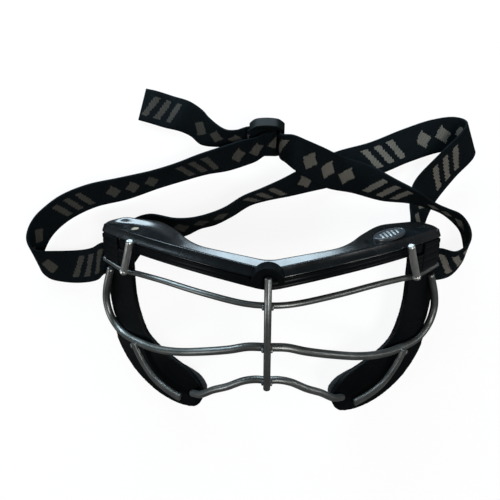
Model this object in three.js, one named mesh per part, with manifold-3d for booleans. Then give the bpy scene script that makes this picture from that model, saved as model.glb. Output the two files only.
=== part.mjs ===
// Lacrosse goggles with a wire cage and an elastic head strap, lying face up on a table.
// Lengths are in millimetres, and +Z is up from the table.
// Left and right are the sides of the picture, so left is -X.
import * as THREE from 'three';
import { mergeVertices } from 'three/addons/utils/BufferGeometryUtils.js';
import Module from 'manifold-3d';

const wasm = await Module();
wasm.setup();

// Driving sizes of the goggles, in their own frame: X across, Y back towards the head, Z up the face
const FRAME_HALF_WIDTH = 87;
const WRAP_DEPTH = 52;
const WRAP_POWER = 1.7;
const FACE_HEIGHT = 90;
const BROW_ARCH = 3.8;
const BROW_ARCH_POWER = 0.8;
const FIT_GAP = 0.3;

// Brow cap and the rail under it
const CAP_WALL_HEIGHT = 4;
const CAP_FACE_SLANT = 2.6;
const CAP_THICKNESS = 2.2;
const CAP_CROWN = 1;
const RAIL_HEIGHT = 5.2;
const RAIL_DEPTH = 6.6;
const RAIL_FACE = 0.4;
const RAIL_END_INSET = 11;
const RAIL_GROOVE = 0.5;
const BROW_PAD_DEPTH = 6;
const BROW_PAD_HEIGHT = 11;
const BROW_PAD_END_INSET = 27;
const BROW_PAD_END_POWER = 8;
const BROW_PAD_END_DEPTH_SHARE = 0.5;
const BROW_PAD_END_HEIGHT_SHARE = 0.3;

// Cage wires
const UPPER_WIRE_RADIUS = 1.45;
const MIDDLE_WIRE_RADIUS = 2;
const LOWER_WIRE_RADIUS = 1.8;
const CENTER_BAR_RADIUS = 1.65;
const POST_RADIUS = 1.8;
const CHEEK_BAR_WIDTH = 3.9;
const CHEEK_BAR_THICKNESS = 2.4;

// Hood over the top end of the centre bar
const HOOD_RADIUS = 7;
const HOOD_HOLLOW_RADIUS = 4;
const HOOD_RISE = -2.5;
const HOOD_LEG = 1.6;
const HOOD_REACH = 1.6;
const HOOD_BACK = 2.6;

// Temple blocks, side frames and pads
const BLOCK_BOTTOM_DROP = 19.4;
const BLOCK_FRONT = 0.3;
const BLOCK_BACK = 2.2;
const BLOCK_RIB_DEPTH = 0.4;
const SHIELD_THICKNESS = 2.4;
const PAD_THICKNESS = 11.5;
const ARM_INSET = 3;
const ARM_THICKNESS = 3;
const ARM_FRONT_SETBACK = 2.6;
const ARM_LENGTH = 10.2;
const ARM_REAR_BAR = 4.2;
const ARM_TOP_DROP = 9;
const ARM_BOTTOM_DROP = 37;
const ARM_CORNER_RADIUS = 3;

// Oval badge on the right wing
const BADGE_LENGTH = 20;
const BADGE_WIDTH = 9;
const BADGE_THICKNESS = 1;
const BADGE_POCKET_DEPTH = 0.9;
const BADGE_INSET = 25.5;
const BADGE_SETBACK = 7.6;

// Webbing strap
const WEBBING_WIDTH = 18.6;
const WEBBING_THICKNESS = 1.2;
const SLOT_CLEARANCE = 0.9;
const BUNCHED_WIDTH = 16;
const STRAP_SPREAD = 13;

// Slider on the strap
const SLIDER_LENGTH = 21;
const SLIDER_RAIL_WIDTH = 2.8;
const SLIDER_BAR_WIDTH = 2.6;
const SLIDER_BAR_THICKNESS = 1.6;
const SLIDER_LEAN = THREE.MathUtils.degToRad(60);
const SLIDER_OUTER_RADIUS = 6;
const SLIDER_TRAVEL = 12;
const SLIDER_CORNER_SHARE = 0.35;
const MIDDLE_BAR_SHIFT_SHARE = 0.7;
const END_BAR_INSET_SHARE = 0.4;
const SEWN_LOOP_SHARE = 2;
const SEAM_LENGTH = 1;

// Share of the half width, then the depth of the cap's wing there as a share of it too
const WING_SHARES = [
  [0, 0.102], [0.285, 0.085], [0.39, 0.083], [0.48, 0.105], [0.6, 0.157], [0.69, 0.192],
  [0.76, 0.202], [0.855, 0.172], [0.94, 0.13], [0.98, 0.082], [1, 0.045],
];

// Share of the half width, share of the face height down, share of the wrap depth back
const UPPER_WIRE_SHARES = [
  [0, 0.174, 0], [0.12, 0.174, 0], [0.345, 0.165, 0.005], [0.575, 0.174, 0.015],
  [0.736, 0.203, 0.03], [0.851, 0.228, 0.03], [1, 0.224, 0.03],
];
const MIDDLE_WIRE_SHARES = [
  [0, 0.417, 0.004], [0.1, 0.424, 0.002], [0.2, 0.457, -0.01], [0.345, 0.509, -0.02],
  [0.517, 0.581, -0.02], [0.667, 0.632, -0.02], [0.805, 0.658, -0.02], [0.92, 0.659, -0.02],
  [0.995, 0.606, -0.02], [1.022, 0.515, -0.02], [1.01, 0.415, 0], [0.97, 0.287, 0.06],
];
const LOWER_WIRE_SHARES = [
  [0, 0.62, 0], [0.06, 0.62, 0], [0.126, 0.641, 0], [0.218, 0.702, 0],
  [0.3, 0.754, 0.005], [0.379, 0.824, 0.02], [0.437, 0.865, 0.07],
];
const POST_SHARES = [[0.775, -0.008, -0.056], [0.8, 0.09, -0.066], [0.836, 0.209, -0.068]];
const CHEEK_BAR_SHARES = [
  [0.8, 0.672, -0.035], [0.782, 0.708, -0.04], [0.747, 0.77, -0.04],
  [0.678, 0.843, -0.03], [0.586, 0.883, -0.005], [0.51, 0.9, 0.01],
];

// Side frame: inner edge, then outer edge, each as in the wires' tables
const SIDE_FRAME_SHARES = [
  [[0.785, 0.092, 0.105], [0.965, 0.1, 0.105]],
  [[0.79, 0.222, 0.105], [0.985, 0.244, 0.105]],
  [[0.793, 0.378, 0.105], [1, 0.444, 0.1]],
  [[0.768, 0.511, 0.105], [0.975, 0.6, 0.06]],
  [[0.722, 0.606, 0.105], [0.945, 0.717, -0.02]],
  [[0.644, 0.656, 0.105], [0.88, 0.817, -0.02]],
  [[0.552, 0.69, 0.105], [0.79, 0.905, 0.01]],
  [[0.471, 0.728, 0.12], [0.655, 0.975, 0.06]],
  [[0.408, 0.78, 0.13], [0.529, 1.0, 0.11]],
  [[0.371, 0.85, 0.14], [0.431, 0.98, 0.13]],
  [[0.378, 0.905, 0.14], [0.397, 0.948, 0.14]],
];
// Share of the pad's length, then its thickness as a share of the full one
const PAD_DEPTH_SHARES = [[0, 0.3], [0.35, 0.34], [0.55, 0.7], [0.75, 1], [1, 0.7]];
const PAD_START_SHARE = 0.12;
const PAD_END_SHARE = 0.97;
const PAD_INNER_SHARE = 0.3;
const PAD_OUTER_SHARE = 0.93;
const PAD_END_POWER = 6;
const PAD_TAPER_SHARE = 0.6;

// Strap stations as shares of how far the strap reaches out: lower edge X, Y, Z, then upper edge X, Y, Z
const LEFT_RUN_SHARES = [
  [-0.941, -0.035, 0.055, -0.962, 0.148, 0.125], [-1.039, -0.054, 0.025, -1.048, 0.131, 0.075],
  [-1.151, -0.051, 0.01, -1.175, 0.115, 0.085], [-1.231, -0.032, 0.01, -1.249, 0.113, 0.12],
  [-1.279, 0.012, 0.01, -1.283, 0.127, 0.155], [-1.287, 0.068, 0.01, -1.306, 0.175, 0.16],
  [-1.269, 0.126, 0.01, -1.301, 0.235, 0.155], [-1.24, 0.191, 0.01, -1.268, 0.294, 0.16],
  [-1.197, 0.246, 0.01, -1.218, 0.344, 0.165], [-1.12, 0.309, 0.01, -1.133, 0.41, 0.165],
  [-0.986, 0.376, 0.01, -0.992, 0.469, 0.17], [-0.805, 0.423, 0.01, -0.807, 0.51, 0.172],
  [-0.626, 0.489, 0.01, -0.633, 0.548, 0.185], [-0.494, 0.531, 0.01, -0.508, 0.588, 0.185],
  [-0.357, 0.57, 0.012, -0.379, 0.641, 0.18], [-0.242, 0.59, 0.015, -0.24, 0.693, 0.168],
  [-0.147, 0.617, 0.03, -0.142, 0.722, 0.181],
];
const BACK_RUN_SHARES = [
  [-0.74, 0.059, 0.07, -0.771, 0.216, 0.15], [-0.686, 0.138, 0.05, -0.737, 0.285, 0.14],
  [-0.587, 0.193, 0.02, -0.654, 0.311, 0.12], [-0.47, 0.221, 0.01, -0.505, 0.296, 0.175],
  [-0.391, 0.261, 0.01, -0.414, 0.298, 0.19], [-0.305, 0.286, 0.01, -0.326, 0.32, 0.192],
  [-0.216, 0.332, 0.01, -0.237, 0.356, 0.192], [-0.113, 0.397, 0.01, -0.144, 0.416, 0.192],
  [-0.024, 0.425, 0.01, -0.046, 0.459, 0.191], [0.109, 0.453, 0.01, 0.058, 0.511, 0.179],
  [0.219, 0.479, 0.01, 0.148, 0.565, 0.159], [0.415, 0.523, 0.01, 0.355, 0.686, 0.03],
  [0.612, 0.582, 0.01, 0.548, 0.754, 0.025], [0.771, 0.651, 0.01, 0.726, 0.836, 0.02],
  [0.937, 0.707, 0.01, 0.889, 0.882, 0.03], [1.048, 0.719, 0.01, 1.008, 0.892, 0.05],
  [1.121, 0.714, 0.02, 1.044, 0.837, 0.135], [1.114, 0.676, 0.03, 1.015, 0.786, 0.142],
  [1.012, 0.562, 0.02, 0.903, 0.67, 0.125], [0.902, 0.415, 0.01, 0.783, 0.52, 0.09],
  [0.856, 0.316, 0.01, 0.757, 0.403, 0.115], [0.831, 0.21, 0.02, 0.749, 0.298, 0.15],
  [0.77, 0.1, 0.035, 0.729, 0.218, 0.175],
];
const RIGHT_RUN_SHARES = [
  [0.082, 0.616, 0.12, 0.113, 0.729, 0.264], [0.129, 0.565, 0.17, 0.186, 0.693, 0.293],
  [0.201, 0.519, 0.175, 0.272, 0.663, 0.269], [0.3, 0.475, 0.145, 0.369, 0.633, 0.213],
  [0.437, 0.452, 0.14, 0.521, 0.569, 0.255], [0.586, 0.411, 0.16, 0.629, 0.489, 0.32],
  [0.731, 0.396, 0.18, 0.726, 0.424, 0.36], [0.872, 0.371, 0.12, 0.831, 0.375, 0.3],
  [0.955, 0.347, 0.055, 0.911, 0.358, 0.235], [1.016, 0.304, 0.025, 0.984, 0.335, 0.205],
  [1.05, 0.264, 0.01, 1.027, 0.288, 0.192], [1.066, 0.194, 0.01, 1.043, 0.236, 0.19],
  [1.067, 0.132, 0.01, 1.035, 0.19, 0.182], [1.032, 0.071, 0.02, 1.005, 0.158, 0.18],
  [0.977, 0.021, 0.04, 0.965, 0.142, 0.178],
];
const TAIL_SHARES = [
  [-0.395, 0.738, 0.01, -0.341, 0.851, 0.145], [-0.454, 0.785, 0.01, -0.377, 0.892, 0.138],
  [-0.513, 0.811, 0.01, -0.45, 0.948, 0.115], [-0.6, 0.831, 0.01, -0.567, 1.012, 0.025],
  [-0.7, 0.86, 0.01, -0.653, 1.038, 0.03], [-0.759, 0.876, 0.01, -0.717, 1.059, 0.015],
];
const SLIDER_PLACE_SHARES = [-0.023, 0.754, 0.132];

// Sections, as shares of their height or depth
const RAIL_GROOVE_SHARES = [[0.3, 0.36, 0.42], [0.68, 0.74, 0.8]];
const BLOCK_RIB_SHARES = [[0.16, 0.2, 0.24], [0.4, 0.44, 0.48], [0.64, 0.68, 0.72]];
const BROW_PAD_SHARES = [
  [0, 0.08], [0, 0.92], [0.15, 1], [0.7, 0.95], [0.91, 0.84], [1, 0.5], [0.91, 0.16], [0.7, 0.05], [0.15, 0],
];
const CHEEK_PAD_SHARES = [
  [0, 0], [-0.03, 0.4], [0.09, 0.85], [0.35, 1], [0.65, 1], [0.91, 0.85], [1.03, 0.4], [1, 0],
];
const SHIELD_SHARES = [[0, -0.5], [0, 0.5], [0.5, 0.65], [1, 0.5], [1, -0.5], [0.5, -0.35]];
const SHIELD_CREST_SHARE = 0.65;

// Colours
const GLOSS_BLACK = { color: 0x0b0f12, roughness: 0.25, metalness: 0 };
const MATT_BLACK = { color: 0x060809, roughness: 0.7, metalness: 0 };
const FOAM_BLACK = { color: 0x050607, roughness: 0.9, metalness: 0 };
const GRAPHITE = { color: 0x5c605f, roughness: 0.4, metalness: 0.8 };
const WEBBING_BLACK = { color: 0x07090b, roughness: 0.85, metalness: 0 };
const BADGE_GREY = { color: 0x23282b, roughness: 0.35, metalness: 0.2 };

// Places that follow from the sizes
const railEndSpan = FRAME_HALF_WIDTH - RAIL_END_INSET;
const browPadEndSpan = FRAME_HALF_WIDTH - BROW_PAD_END_INSET;
const blockInnerSpan = railEndSpan + FIT_GAP;
const badgeSpan = FRAME_HALF_WIDTH - BADGE_INSET;
const armSpan = FRAME_HALF_WIDTH - ARM_INSET;
const armFrontDepth = WRAP_DEPTH + ARM_FRONT_SETBACK;
const armRearDepth = armFrontDepth + ARM_LENGTH;
const strapReach = FRAME_HALF_WIDTH + STRAP_SPREAD;

const mirrored = (point, side) => new THREE.Vector3(side * point.x, point.y, point.z);

// Depth of the wrapped face behind its middle, and its slope
function faceDepth(x) {
  return WRAP_DEPTH * (Math.abs(x) / FRAME_HALF_WIDTH) ** WRAP_POWER;
}
function faceSlope(x) {
  const share = Math.abs(x) / FRAME_HALF_WIDTH;
  return Math.sign(x) * WRAP_POWER * (WRAP_DEPTH / FRAME_HALF_WIDTH) * share ** (WRAP_POWER - 1);
}

// Height of the brow line: it dips at the nose and arches over the eyes
function browLine(x) {
  const share = Math.min(Math.abs(x) / FRAME_HALF_WIDTH, 1);
  return BROW_ARCH * Math.sin(Math.PI * share ** BROW_ARCH_POWER);
}

// Smooth value of a table of pairs at a share
function tableValue(table, share) {
  const last = table.length - 1;
  const at = Math.min(Math.max(table.findIndex((row) => row[0] >= share), 1), last);
  const [x0, y0] = table[at - 1];
  const [x1, y1] = table[at];
  const before = table[Math.max(at - 2, 0)];
  const after = table[Math.min(at + 1, last)];
  const span = x1 - x0;
  const slope0 = (y1 - before[1]) / (x1 - before[0]);
  const slope1 = (after[1] - y0) / (after[0] - x0);
  const t = (share - x0) / span;
  const cubic = y0 * (1 + 2 * t) * (1 - t) ** 2 + y1 * t * t * (3 - 2 * t);
  return cubic + span * (slope0 * t * (1 - t) ** 2 - slope1 * t * t * (1 - t));
}

// Point of the wrapped face from its shares
function facePoint([acrossShare, dropShare, backShare]) {
  const x = acrossShare * FRAME_HALF_WIDTH;
  return new THREE.Vector3(x, faceDepth(x) + backShare * WRAP_DEPTH, -dropShare * FACE_HEIGHT);
}

function closedGeometry(positions, indices) {
  const geometry = new THREE.BufferGeometry();
  geometry.setAttribute('position', new THREE.Float32BufferAttribute(positions, 3));
  geometry.setIndex(indices);
  return outward(geometry);
}

// Triangles turned so that the solid's volume is positive
function outward(geometry) {
  const place = geometry.getAttribute('position');
  const index = geometry.getIndex();
  const corners = [new THREE.Vector3(), new THREE.Vector3(), new THREE.Vector3()];
  let volume = 0;
  for (let i = 0; i < index.count; i += 3) {
    corners.forEach((corner, k) => corner.fromBufferAttribute(place, index.getX(i + k)));
    volume += corners[0].dot(corners[1].cross(corners[2]));
  }
  if (volume < 0) {
    for (let i = 0; i < index.count; i += 3) {
      const kept = index.getX(i + 1);
      index.setX(i + 1, index.getX(i + 2));
      index.setX(i + 2, kept);
    }
  }
  return geometry;
}

// Solid through rings of equal length; the profile of each end is filled
function loft(rings, profiles) {
  const size = rings[0].length;
  const positions = rings.flat().flatMap((point) => point.toArray());
  const indices = [];
  for (let i = 0; i + 1 < rings.length; i += 1) {
    for (let k = 0; k < size; k += 1) {
      const a = i * size + k;
      const b = i * size + ((k + 1) % size);
      indices.push(a, b, b + size, a, b + size, a + size);
    }
  }
  const endStart = (rings.length - 1) * size;
  filled(profiles[0]).forEach(([a, b, c]) => indices.push(a, c, b));
  filled(profiles[profiles.length - 1])
    .forEach(([a, b, c]) => indices.push(endStart + a, endStart + b, endStart + c));
  return closedGeometry(positions, indices);
}

// Triangles that fill a profile, each turning the way the profile runs
function filled(profile) {
  const points = profile.map(([u, v]) => new THREE.Vector2(u, v));
  const turn = Math.sign(THREE.ShapeUtils.area(points));
  return THREE.ShapeUtils.triangulateShape(points, []).map(([a, b, c]) => {
    const same = Math.sign(THREE.ShapeUtils.area([points[a], points[b], points[c]])) === turn;
    return same ? [a, b, c] : [a, c, b];
  });
}

// Profile carried along the wrapped brow: u runs in from the face, v runs up from the brow line
function alongBrow(fromSpan, toSpan, steps, profileAt) {
  const profiles = [];
  const rings = [];
  for (let i = 0; i <= steps; i += 1) {
    const x = fromSpan + ((toSpan - fromSpan) * i) / steps;
    const angle = Math.atan(faceSlope(x));
    const inward = new THREE.Vector3(-Math.sin(angle), Math.cos(angle), 0);
    const origin = new THREE.Vector3(x, faceDepth(x), browLine(x));
    const profile = profileAt(x);
    profiles.push(profile);
    rings.push(profile.map(([u, v]) => origin.clone().addScaledVector(inward, u).setZ(origin.z + v)));
  }
  return loft(rings, profiles);
}

// Band between two edges; the profile gives shares across and heights off the band's middle
function band(lower, upper, steps, profileAt) {
  const lowCurve = new THREE.CatmullRomCurve3(lower, false, 'centripetal');
  const highCurve = new THREE.CatmullRomCurve3(upper, false, 'centripetal');
  const samples = Array.from({ length: steps + 1 }, (unused, i) => {
    const low = lowCurve.getPoint(i / steps);
    const high = highCurve.getPoint(i / steps);
    return { low, high, middle: low.clone().add(high).multiplyScalar(0.5) };
  });
  const profiles = samples.map((unused, i) => profileAt(i / steps));
  const rings = samples.map(({ low, high }, i) => {
    const ahead = samples[Math.min(i + 1, steps)].middle;
    const behind = samples[Math.max(i - 1, 0)].middle;
    const across = high.clone().sub(low);
    const normal = ahead.clone().sub(behind).cross(across).normalize();
    return profiles[i].map(([share, lift]) => low.clone()
      .addScaledVector(across, share).addScaledVector(normal, lift));
  });
  return loft(rings, profiles);
}

// Both halves of a path that mirrors about the middle of the face
function wholePath(shares) {
  const half = shares.map(facePoint);
  const other = half.slice(1).reverse().map((point) => mirrored(point, -1));
  return [...other, ...half];
}

function tube(points, radius, sides, steps) {
  const path = new THREE.CatmullRomCurve3(points, false, 'centripetal');
  const shape = new THREE.Shape().absarc(0, 0, radius, 0, 2 * Math.PI);
  const options = { steps, curveSegments: sides / 2, extrudePath: path };
  return new THREE.ExtrudeGeometry(shape, options);
}

function asSolid(geometry) {
  const plain = geometry.clone();
  plain.deleteAttribute('normal');
  plain.deleteAttribute('uv');
  const merged = mergeVertices(plain, 1e-5);
  outward(merged);
  return new wasm.Manifold(new wasm.Mesh({
    numProp: 3,
    vertProperties: new Float32Array(merged.getAttribute('position').array),
    triVerts: new Uint32Array(merged.getIndex().array),
  }));
}

function asGeometry(solid) {
  const mesh = solid.getMesh();
  const geometry = new THREE.BufferGeometry();
  geometry.setAttribute('position', new THREE.BufferAttribute(new Float32Array(mesh.vertProperties), 3));
  geometry.setIndex(new THREE.BufferAttribute(new Uint32Array(mesh.triVerts), 1));
  return geometry;
}

function cutFrom(geometry, ...tools) {
  return asGeometry(tools.reduce((solid, tool) => solid.subtract(asSolid(tool)), asSolid(geometry)));
}

function joined(...geometries) {
  return asGeometry(geometries.map(asSolid).reduce((all, solid) => all.add(solid)));
}

// Plate drawn in the side view of the goggles and given a thickness across
function sidePlate(shape, thickness, spanX, curveSegments = 6) {
  const plate = new THREE.ExtrudeGeometry(shape, { depth: thickness, bevelEnabled: false, curveSegments });
  plate.rotateX(Math.PI / 2);
  plate.rotateZ(Math.PI / 2);
  plate.translate(spanX - thickness / 2, 0, 0);
  return plate;
}

function addPart(group, name, geometry, look) {
  const plain = geometry.index ? geometry.toNonIndexed() : geometry;
  plain.deleteAttribute('uv');
  plain.computeVertexNormals();
  const mesh = new THREE.Mesh(plain, new THREE.MeshStandardMaterial(look));
  mesh.name = name;
  group.add(mesh);
  return mesh;
}

// The goggles stand in their own frame, and this group is laid on the table once their pads are made
const root = new THREE.Group();
root.name = 'lacrosse_goggles';
const goggles = new THREE.Group();
goggles.name = 'goggles';
root.add(goggles);

// Cage wires: each is bent from round rod, and the centre bar crosses in front of them
const upperPath = wholePath(UPPER_WIRE_SHARES);
const middlePath = wholePath(MIDDLE_WIRE_SHARES);
const lowerPath = wholePath(LOWER_WIRE_SHARES);
addPart(goggles, 'upper_wire', tube(upperPath, UPPER_WIRE_RADIUS, 10, 48), GRAPHITE);
addPart(goggles, 'middle_wire', tube(middlePath, MIDDLE_WIRE_RADIUS, 12, 72), GRAPHITE);
addPart(goggles, 'lower_wire', tube(lowerPath, LOWER_WIRE_RADIUS, 10, 40), GRAPHITE);

const wireFront = Math.max(UPPER_WIRE_RADIUS, LOWER_WIRE_RADIUS);
const barDepth = -(wireFront + CENTER_BAR_RADIUS + FIT_GAP);
const barTop = HOOD_RISE + HOOD_HOLLOW_RADIUS - CENTER_BAR_RADIUS - FIT_GAP;
const barBottom = lowerPath[Math.floor(lowerPath.length / 2)].z - LOWER_WIRE_RADIUS - FIT_GAP;
const barLength = barTop - barBottom;
const bar = new THREE.CylinderGeometry(CENTER_BAR_RADIUS, CENTER_BAR_RADIUS, barLength, 16);
bar.rotateX(Math.PI / 2);
bar.translate(0, barDepth, (barTop + barBottom) / 2);
addPart(goggles, 'center_bar', bar, GRAPHITE);

// Hood: an arch in front of the brow that covers the top end of the centre bar
function archShape(radius, leg) {
  const shape = new THREE.Shape();
  shape.absarc(0, 0, radius, 0, Math.PI);
  shape.lineTo(-radius, -leg);
  shape.lineTo(radius, -leg);
  shape.closePath();
  return shape;
}
function archSolid(radius, front, back, leg) {
  const solid = new THREE.ExtrudeGeometry(archShape(radius, leg), {
    depth: back - front, bevelEnabled: false, curveSegments: 8,
  });
  solid.rotateX(Math.PI / 2);
  solid.translate(0, back, HOOD_RISE);
  return solid;
}
const hoodFront = barDepth + CENTER_BAR_RADIUS - HOOD_REACH;
const hoodBackPlate = barDepth + CENTER_BAR_RADIUS + FIT_GAP;
const hoodHollow = archSolid(HOOD_HOLLOW_RADIUS, hoodFront - FIT_GAP, hoodBackPlate, HOOD_LEG * 2);
const hood = cutFrom(archSolid(HOOD_RADIUS, hoodFront, HOOD_BACK, HOOD_LEG), hoodHollow);
addPart(goggles, 'bridge_hood', hood, GLOSS_BLACK);
const hoodSpaceLeg = CAP_WALL_HEIGHT + HOOD_RISE + FIT_GAP * 2;
const hoodSpace = archSolid(HOOD_RADIUS + FIT_GAP, hoodFront - FIT_GAP, HOOD_BACK + FIT_GAP, hoodSpaceLeg);

// Brow cap: a sloped face, a flange on top and a wing over each temple, narrowed where it nears its tip
function capProfile(x) {
  const reach = tableValue(WING_SHARES, Math.abs(x) / FRAME_HALF_WIDTH) * FRAME_HALF_WIDTH;
  const fullShoulder = CAP_FACE_SLANT + CAP_THICKNESS;
  const tipShare = Math.min(reach / (fullShoulder + CAP_THICKNESS), 1);
  const slant = CAP_FACE_SLANT * tipShare;
  const crown = CAP_CROWN * tipShare;
  const shoulder = fullShoulder * tipShare;
  return [
    [0, -CAP_WALL_HEIGHT],
    [slant - crown / 2, -crown / 2],
    [slant, 0],
    [(slant + reach) / 2, crown],
    [reach - crown, crown],
    [reach, crown / 2],
    [reach, crown - CAP_THICKNESS],
    [(shoulder + reach) / 2, crown - CAP_THICKNESS],
    [shoulder, -CAP_THICKNESS],
    [CAP_THICKNESS * tipShare, -CAP_WALL_HEIGHT],
  ];
}
const badgeAngle = Math.atan(faceSlope(badgeSpan));
const badgePlace = new THREE.Vector3(
  badgeSpan - BADGE_SETBACK * Math.sin(badgeAngle),
  faceDepth(badgeSpan) + BADGE_SETBACK * Math.cos(badgeAngle),
  browLine(badgeSpan) + CAP_CROWN,
);
function oval(margin, bottom, top) {
  const shape = new THREE.Shape();
  shape.absellipse(0, 0, BADGE_LENGTH / 2 + margin, BADGE_WIDTH / 2 + margin, 0, 2 * Math.PI);
  const plate = new THREE.ExtrudeGeometry(shape, {
    depth: top - bottom, bevelEnabled: false, curveSegments: 16,
  });
  plate.translate(0, 0, bottom);
  plate.rotateZ(badgeAngle);
  plate.translate(badgePlace.x, badgePlace.y, badgePlace.z);
  return plate;
}
const badgePocket = oval(FIT_GAP, -BADGE_POCKET_DEPTH, BADGE_POCKET_DEPTH + CAP_THICKNESS);
const cap = alongBrow(-FRAME_HALF_WIDTH, FRAME_HALF_WIDTH, 72, capProfile);
addPart(goggles, 'brow_cap', cutFrom(cap, hoodSpace, badgePocket), GLOSS_BLACK);
const badgeBottom = FIT_GAP - BADGE_POCKET_DEPTH;
addPart(goggles, 'oval_badge', oval(0, badgeBottom, badgeBottom + BADGE_THICKNESS), BADGE_GREY);

// Rail under the cap, with two grooves along its face
const railTop = -CAP_WALL_HEIGHT - FIT_GAP;
const railBottom = railTop - RAIL_HEIGHT;
function railProfile() {
  const back = RAIL_FACE + RAIL_DEPTH;
  const grooves = RAIL_GROOVE_SHARES.flatMap(([start, bottom, end]) => [
    [RAIL_FACE, railBottom + RAIL_HEIGHT * start],
    [RAIL_FACE + RAIL_GROOVE, railBottom + RAIL_HEIGHT * bottom],
    [RAIL_FACE, railBottom + RAIL_HEIGHT * end],
  ]);
  return [[RAIL_FACE, railBottom], ...grooves, [RAIL_FACE, railTop], [back, railTop], [back, railBottom]];
}
const rail = alongBrow(-railEndSpan, railEndSpan, 48, railProfile);
addPart(goggles, 'brow_rail', cutFrom(rail, hoodSpace), GLOSS_BLACK);

// Foam pad behind the rail, under the flange
function browPadProfile(x) {
  const front = RAIL_FACE + RAIL_DEPTH + FIT_GAP;
  const top = CAP_CROWN - CAP_THICKNESS - FIT_GAP * 2;
  const endShare = (Math.abs(x) / browPadEndSpan) ** BROW_PAD_END_POWER;
  const depth = BROW_PAD_DEPTH * (1 - endShare * BROW_PAD_END_DEPTH_SHARE);
  const height = BROW_PAD_HEIGHT * (1 - endShare * BROW_PAD_END_HEIGHT_SHARE);
  return BROW_PAD_SHARES.map(([inShare, upShare]) => [front + depth * inShare, top + height * (upShare - 1)]);
}
const browPad = alongBrow(-browPadEndSpan, browPadEndSpan, 40, browPadProfile);
addPart(goggles, 'brow_pad', browPad, FOAM_BLACK);

// Strap slot through each side arm, along X
const slotDepth = armRearDepth - ARM_REAR_BAR - SLOT_CLEARANCE - WEBBING_THICKNESS / 2;
const slotDrop = (ARM_TOP_DROP + ARM_BOTTOM_DROP) / 2;
function slotSpace(side) {
  const size = ARM_THICKNESS * 4;
  const space = new THREE.BoxGeometry(
    size, WEBBING_THICKNESS + SLOT_CLEARANCE * 2, WEBBING_WIDTH + SLOT_CLEARANCE * 2,
  );
  space.translate(side * armSpan, slotDepth, -slotDrop);
  return space;
}

// Side arm: a plate behind the side frame, with rounded rear corners
function armPlate(side, margin = 0) {
  const radius = ARM_CORNER_RADIUS;
  const front = armFrontDepth - margin;
  const rear = armRearDepth + margin;
  const top = margin - ARM_TOP_DROP;
  const bottom = -ARM_BOTTOM_DROP - margin;
  const shape = new THREE.Shape();
  shape.moveTo(front, top);
  shape.lineTo(front, bottom);
  shape.lineTo(rear, bottom);
  shape.lineTo(rear, top - radius);
  shape.absarc(rear - radius, top - radius, radius, 0, Math.PI / 2);
  shape.closePath();
  return sidePlate(shape, ARM_THICKNESS + margin * 2, side * armSpan);
}

function sideEdges(side) {
  const inner = SIDE_FRAME_SHARES.map(([edge]) => mirrored(facePoint(edge), side));
  const outer = SIDE_FRAME_SHARES.map(([unused, edge]) => mirrored(facePoint(edge), side));
  return { inner, outer };
}

// Lean at which the lowest point of a pad is level with the rear corners of the arms
function leanOnto(pad) {
  const place = pad.getAttribute('position');
  const angles = Array.from({ length: place.count }, (unused, i) => {
    const drop = -place.getZ(i) - ARM_BOTTOM_DROP;
    return drop > 0 ? Math.atan2(armRearDepth - place.getY(i), drop) : Math.PI / 2;
  });
  return Math.min(...angles);
}

// Temple block: ribbed front piece that holds the ends of the wires
function blockProfile() {
  const top = railTop;
  const height = BLOCK_BOTTOM_DROP + top;
  const ribs = BLOCK_RIB_SHARES.flatMap(([start, bottom, end]) => [
    [-BLOCK_FRONT, top - height * start],
    [BLOCK_RIB_DEPTH - BLOCK_FRONT, top - height * bottom],
    [-BLOCK_FRONT, top - height * end],
  ]);
  const front = [[-BLOCK_FRONT, top], ...ribs, [-BLOCK_FRONT, top - height]];
  return [...front, [BLOCK_BACK, top - height], [BLOCK_BACK, top]];
}

// Flat bar bent along the side frame, with a margin all round for the seat that it lies in
function cheekBar(side, margin) {
  const path = CHEEK_BAR_SHARES.map((share) => mirrored(facePoint(share), side));
  const curve = new THREE.CatmullRomCurve3(path, false, 'centripetal');
  const edges = [-1, 1].map((edgeSide) => path.map((point, i) => {
    const along = curve.getTangent(i / (path.length - 1));
    const angle = Math.atan(faceSlope(point.x));
    const inward = new THREE.Vector3(-Math.sin(angle), Math.cos(angle), 0);
    const across = inward.cross(along).normalize();
    return point.clone().addScaledVector(across, edgeSide * (CHEEK_BAR_WIDTH / 2 + margin));
  }));
  const half = CHEEK_BAR_THICKNESS / 2 + margin;
  return band(edges[0], edges[1], 20, () => [[0, -half], [0, half], [1, half], [1, -half]]);
}

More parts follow.
